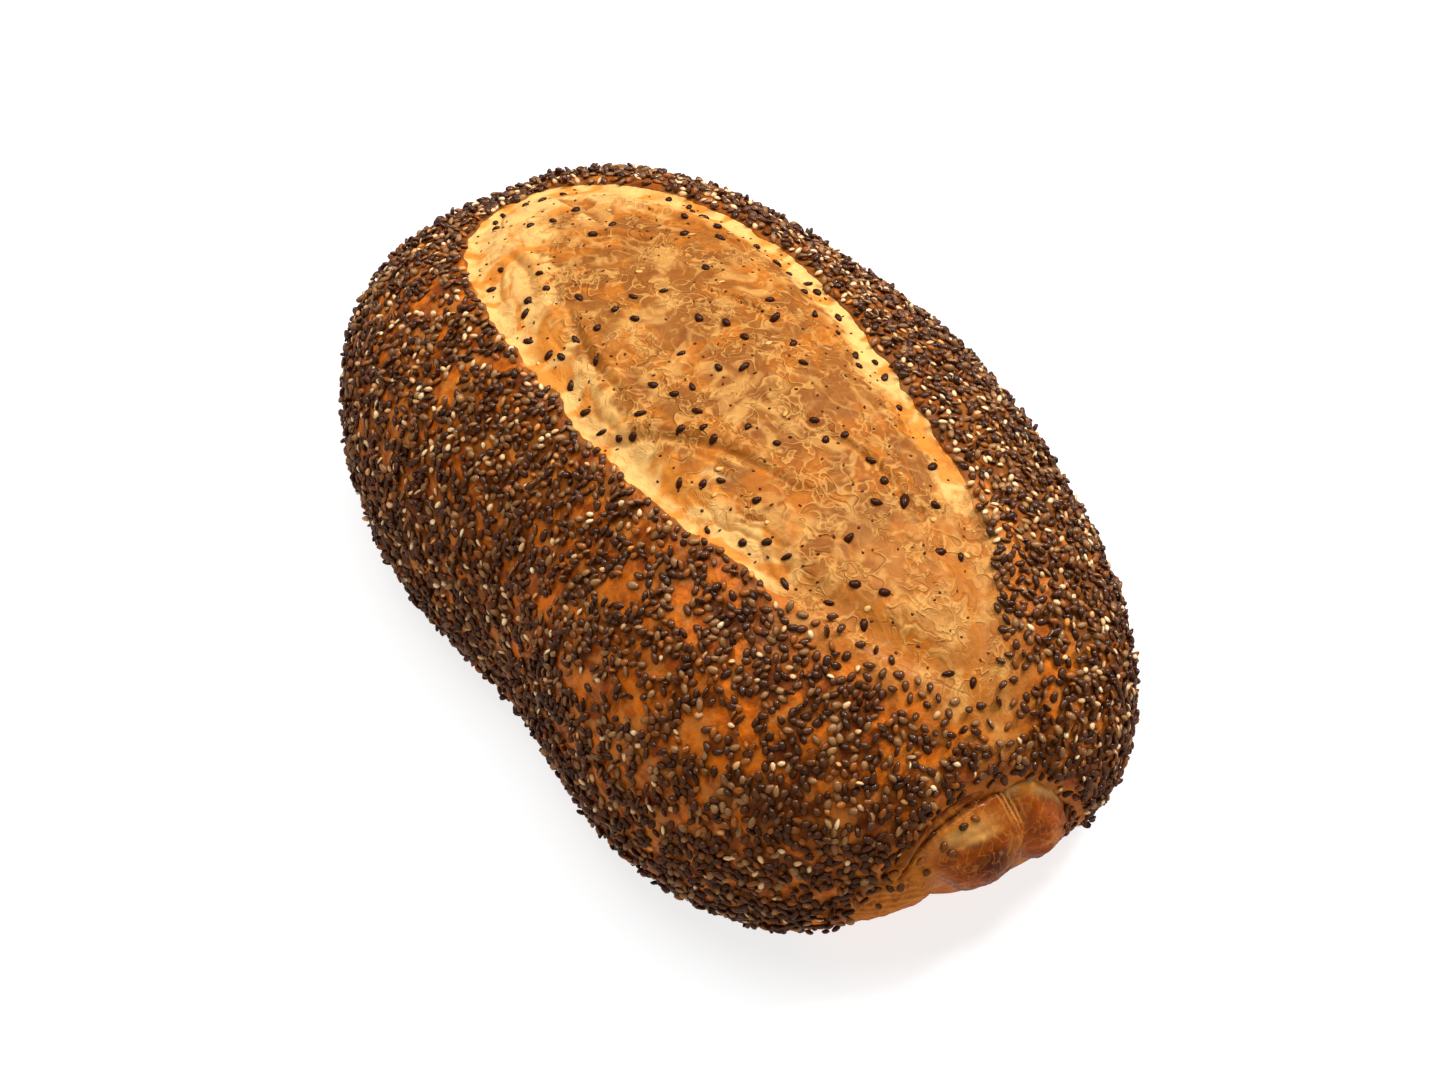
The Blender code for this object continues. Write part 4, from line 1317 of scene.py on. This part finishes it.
class BREAD_OT_seeds(bpy.types.Operator):
    """Scatter the seeds over the crust"""

    bl_idname = "bread.seeds"
    bl_label = "Crust seeds"

    def execute(self, context):
        """Draw the places, lay a second layer on some, and build one piece for each kind of seed."""
        sizes = context.scene.bread_sizes
        colours = context.scene.bread_colours
        draw = np.random.default_rng(7)
        place, direction = crust_seed_places(sizes, draw)
        count = len(place)
        upper = draw.random(count) < UPPER_SHARE
        height = np.where(upper, UPPER_HEIGHT, LOWER_HEIGHT) * sizes.seed_thickness
        height *= draw.normal(1, 0.15, count)
        centre = place + direction * height[:, None]
        frames = seed_frames(direction, draw, np.where(upper, UPPER_LEAN, LOWER_LEAN))
        size = seed_size(sizes) * draw.normal(1, 0.10, (count, 3))
        tone = np.clip(draw.normal(0.35, 0.30, count), 0, 1)
        share = np.tile([kind[1] for kind in SEED_KINDS], (count, 1))
        share[:, -1] = sizes.cream_share
        share[:, -1] *= 0.6 + 1.2 * ease((0.03 - place[:, 0]) / 0.08) + 1.2 * ease(place[:, 1] / 0.03)
        share[:, 0] *= 1 + 0.8 * ease((place[:, 0] - 0.02) / 0.06)
        bounds = np.cumsum(share, axis=1)
        chosen = (draw.random(count)[:, None] * bounds[:, -1:] > bounds).sum(1)
        for index, (name, _, colour, other, scale) in enumerate(SEED_KINDS):
            these = chosen == index
            mesh = seed_mesh(name, centre[these], frames[these], size[these] * scale, tone[these])
            shades = getattr(colours, colour), getattr(colours, other), colours.seed_black_and_shade
            place_piece(name, mesh, seed_material(name, *shades))
        return {"FINISHED"}


def add_loose_seeds(name, places, draw, size, vary, sink, lean, tone, material):
    """One piece of seeds that lie loose: their sizes, turns and tones are drawn in this order."""
    place, direction = places
    count = len(place)
    size = size * draw.normal(*vary, (count, 3))
    centre = place + direction * (sink * size[:, 2:])
    frames = seed_frames(direction, draw, np.full(count, lean))
    mesh = seed_mesh(name, centre, frames, size, np.clip(draw.normal(*tone, count), 0, 1))
    place_piece(name, mesh, material)


def seam_seed_places(spacing, draw):
    """Where seeds lie on the rolled seam: at the places set for them and at both ends of the roll."""
    grid, _, _ = seam_surface()
    normal = outward(grid)
    side, height = grid[..., 1], grid[..., 2]
    left_end = ease((-0.0265 - side) / 0.003) * ease((height - 0.0235) / 0.003)
    weight = (left_end + ease((side - 0.0125) / 0.003)) * (normal[..., 0] > 0)
    place, direction = scatter(grid, normal, weight, SEAM_SEED_TRIES, draw)
    outer = normal[..., 0].ravel() > 0
    points, normal = grid.reshape(-1, 3)[outer], normal.reshape(-1, 3)[outer]
    nearest = [np.hypot(points[:, 1] - y, points[:, 2] - z).argmin() for y, z in SEAM_SEEDS]
    place = np.concatenate([points[nearest], place])
    direction = np.concatenate([normal[nearest], direction])
    kept = spread(place, np.full(len(place), spacing))
    return place[kept], direction[kept]


class BREAD_OT_strays(bpy.types.Operator):
    """Scatter stray seeds, specks and flakes over the score, and seeds over the seam"""

    bl_idname = "bread.strays"
    bl_label = "Score seeds and specks"

    def execute(self, context):
        """Draw places on the score for each kind of loose thing, then on the rolled seam."""
        sizes = context.scene.bread_sizes
        colours = context.scene.bread_colours
        rim = colours.seed_black_and_shade
        draw = np.random.default_rng(17)
        grid, fields = score_surface()
        normal = outward(np.concatenate([grid, grid[:, :1]], axis=1))[:, :-1]
        inside = fields["inside"]
        away = ease((inside - 0.0012) / 0.001)
        full = seed_size(sizes)
        for name, count, spacing, scale, flatness, sink, lean, colour, other, pull in STRAY_KINDS:
            weight = away * (1 + 2.5 * pull * (1 - ease(inside / 0.010)))
            place, direction = scatter(grid, normal, weight, count, draw)
            kept = spread(place, np.full(count, spacing))
            places = place[kept], direction[kept]
            size = full * scale * (1.0, 1.0, flatness)
            shades = getattr(colours, colour), getattr(colours, other), rim
            material = seed_material(name, *shades, coat=0.04)
            add_loose_seeds(name, places, draw, size, (1, 0.16), sink, lean, (0.25, 0.25), material)
        places = seam_seed_places(sizes.seed_spacing * 1.3, draw)
        material = seed_material("seam_seeds", colours.seed_charcoal, colours.seed_red, rim)
        add_loose_seeds("seam_seeds", places, draw, full, (0.95, 0.08), 0.16, 0.12, (0.3, 0.25), material)
        return {"FINISHED"}


def add_area_light(name, place, target, side, power):
    """A square soft light that faces a place."""
    light = bpy.data.lights.new(name, "AREA")
    light.shape = "SQUARE"
    light.size = side
    light.energy = power
    lamp = bpy.data.objects.new(name, light)
    lamp.location = place
    lamp.rotation_euler = (Vector(target) - Vector(place)).to_track_quat("-Z", "Y").to_euler()
    bpy.context.scene.collection.objects.link(lamp)


class BREAD_OT_stage(bpy.types.Operator):
    """Set up the floor, the lights and the camera"""

    bl_idname = "bread.stage"
    bl_label = "Stage"

    def execute(self, context):
        """Lay a pale floor, light it softly from above and behind, and place the camera."""
        stage = context.scene.bread_stage
        half = 0.5 * stage.floor_size
        corners = np.array([(-half, -half, 0), (half, -half, 0), (half, half, 0), (-half, half, 0)])
        mesh = fill_mesh("floor", corners - (0, 0, FLOOR_GAP), [np.array([[0, 1, 2, 3]])])
        floor = bpy.data.objects.new("floor", mesh)
        context.scene.collection.objects.link(floor)
        mesh.materials.append(floor_material(stage))
        floor.visible_glossy = False
        world = bpy.data.worlds.new("soft_white")
        world.use_nodes = True
        background = world.node_tree.nodes["Background"]
        background.inputs["Color"].default_value = (1.0, 1.0, 1.0, 1.0)
        background.inputs["Strength"].default_value = stage.sky
        context.scene.world = world
        target = Vector(stage.target)
        turn, rise = stage.azimuth, stage.elevation
        right = Vector((math.cos(turn), math.sin(turn), 0))
        back = Vector((math.sin(turn) * math.cos(rise), -math.cos(turn) * math.cos(rise), math.sin(rise)))
        level_back = Vector((math.sin(turn), -math.cos(turn), 0))
        for (name, height, behind, beside, side), power in zip(LAMPS, (stage.key, stage.glint)):
            place = target + Vector((0, 0, height)) + behind * level_back + beside * right
            add_area_light(name, place, target, side, power)
        lens = bpy.data.cameras.new("camera")
        lens.lens = stage.lens
        lens.sensor_width = SENSOR_WIDTH
        lens.clip_start, lens.clip_end = CAMERA_REACH
        camera = bpy.data.objects.new("camera", lens)
        frame_axes = Matrix((right, back.cross(right), back)).transposed().to_4x4()
        camera.matrix_world = Matrix.Translation(target + back * stage.distance) @ frame_axes
        context.scene.collection.objects.link(camera)
        context.scene.camera = camera
        context.scene.view_settings.view_transform = "Standard"
        return {"FINISHED"}


class BREAD_PT_panel(bpy.types.Panel):
    """The loaf's pieces, in the order in which they are made"""

    bl_idname = "BREAD_PT_panel"
    bl_label = "Chia bread"
    bl_space_type = "VIEW_3D"
    bl_region_type = "UI"
    bl_category = "Bread"

    def draw(self, context):
        """List the operators and the values that the user may change."""
        for operator in OPERATORS:
            self.layout.operator(operator.bl_idname)
        for group in (context.scene.bread_sizes, context.scene.bread_colours, context.scene.bread_stage):
            column = self.layout.column(align=True)
            for name in group.__annotations__:
                column.prop(group, name)


OPERATORS = (
    BREAD_OT_stage, BREAD_OT_crust, BREAD_OT_score, BREAD_OT_seam, BREAD_OT_seeds, BREAD_OT_strays
)
CLASSES = (BreadSizes, BreadColours, BreadStage, *OPERATORS, BREAD_PT_panel)


def register():
    """Register the classes and hang the settings on the scene."""
    for item in CLASSES:
        bpy.utils.register_class(item)
    bpy.types.Scene.bread_sizes = bpy.props.PointerProperty(type=BreadSizes)
    bpy.types.Scene.bread_colours = bpy.props.PointerProperty(type=BreadColours)
    bpy.types.Scene.bread_stage = bpy.props.PointerProperty(type=BreadStage)


def unregister():
    """Take the settings off the scene and unregister the classes."""
    del bpy.types.Scene.bread_stage
    del bpy.types.Scene.bread_colours
    del bpy.types.Scene.bread_sizes
    for item in reversed(CLASSES):
        bpy.utils.unregister_class(item)


def main():
    """Build every piece in order."""
    register()
    bpy.ops.bread.stage()
    bpy.ops.bread.crust()
    bpy.ops.bread.score()
    bpy.ops.bread.seam()
    bpy.ops.bread.seeds()
    bpy.ops.bread.strays()


if __name__ == "__main__":
    main()
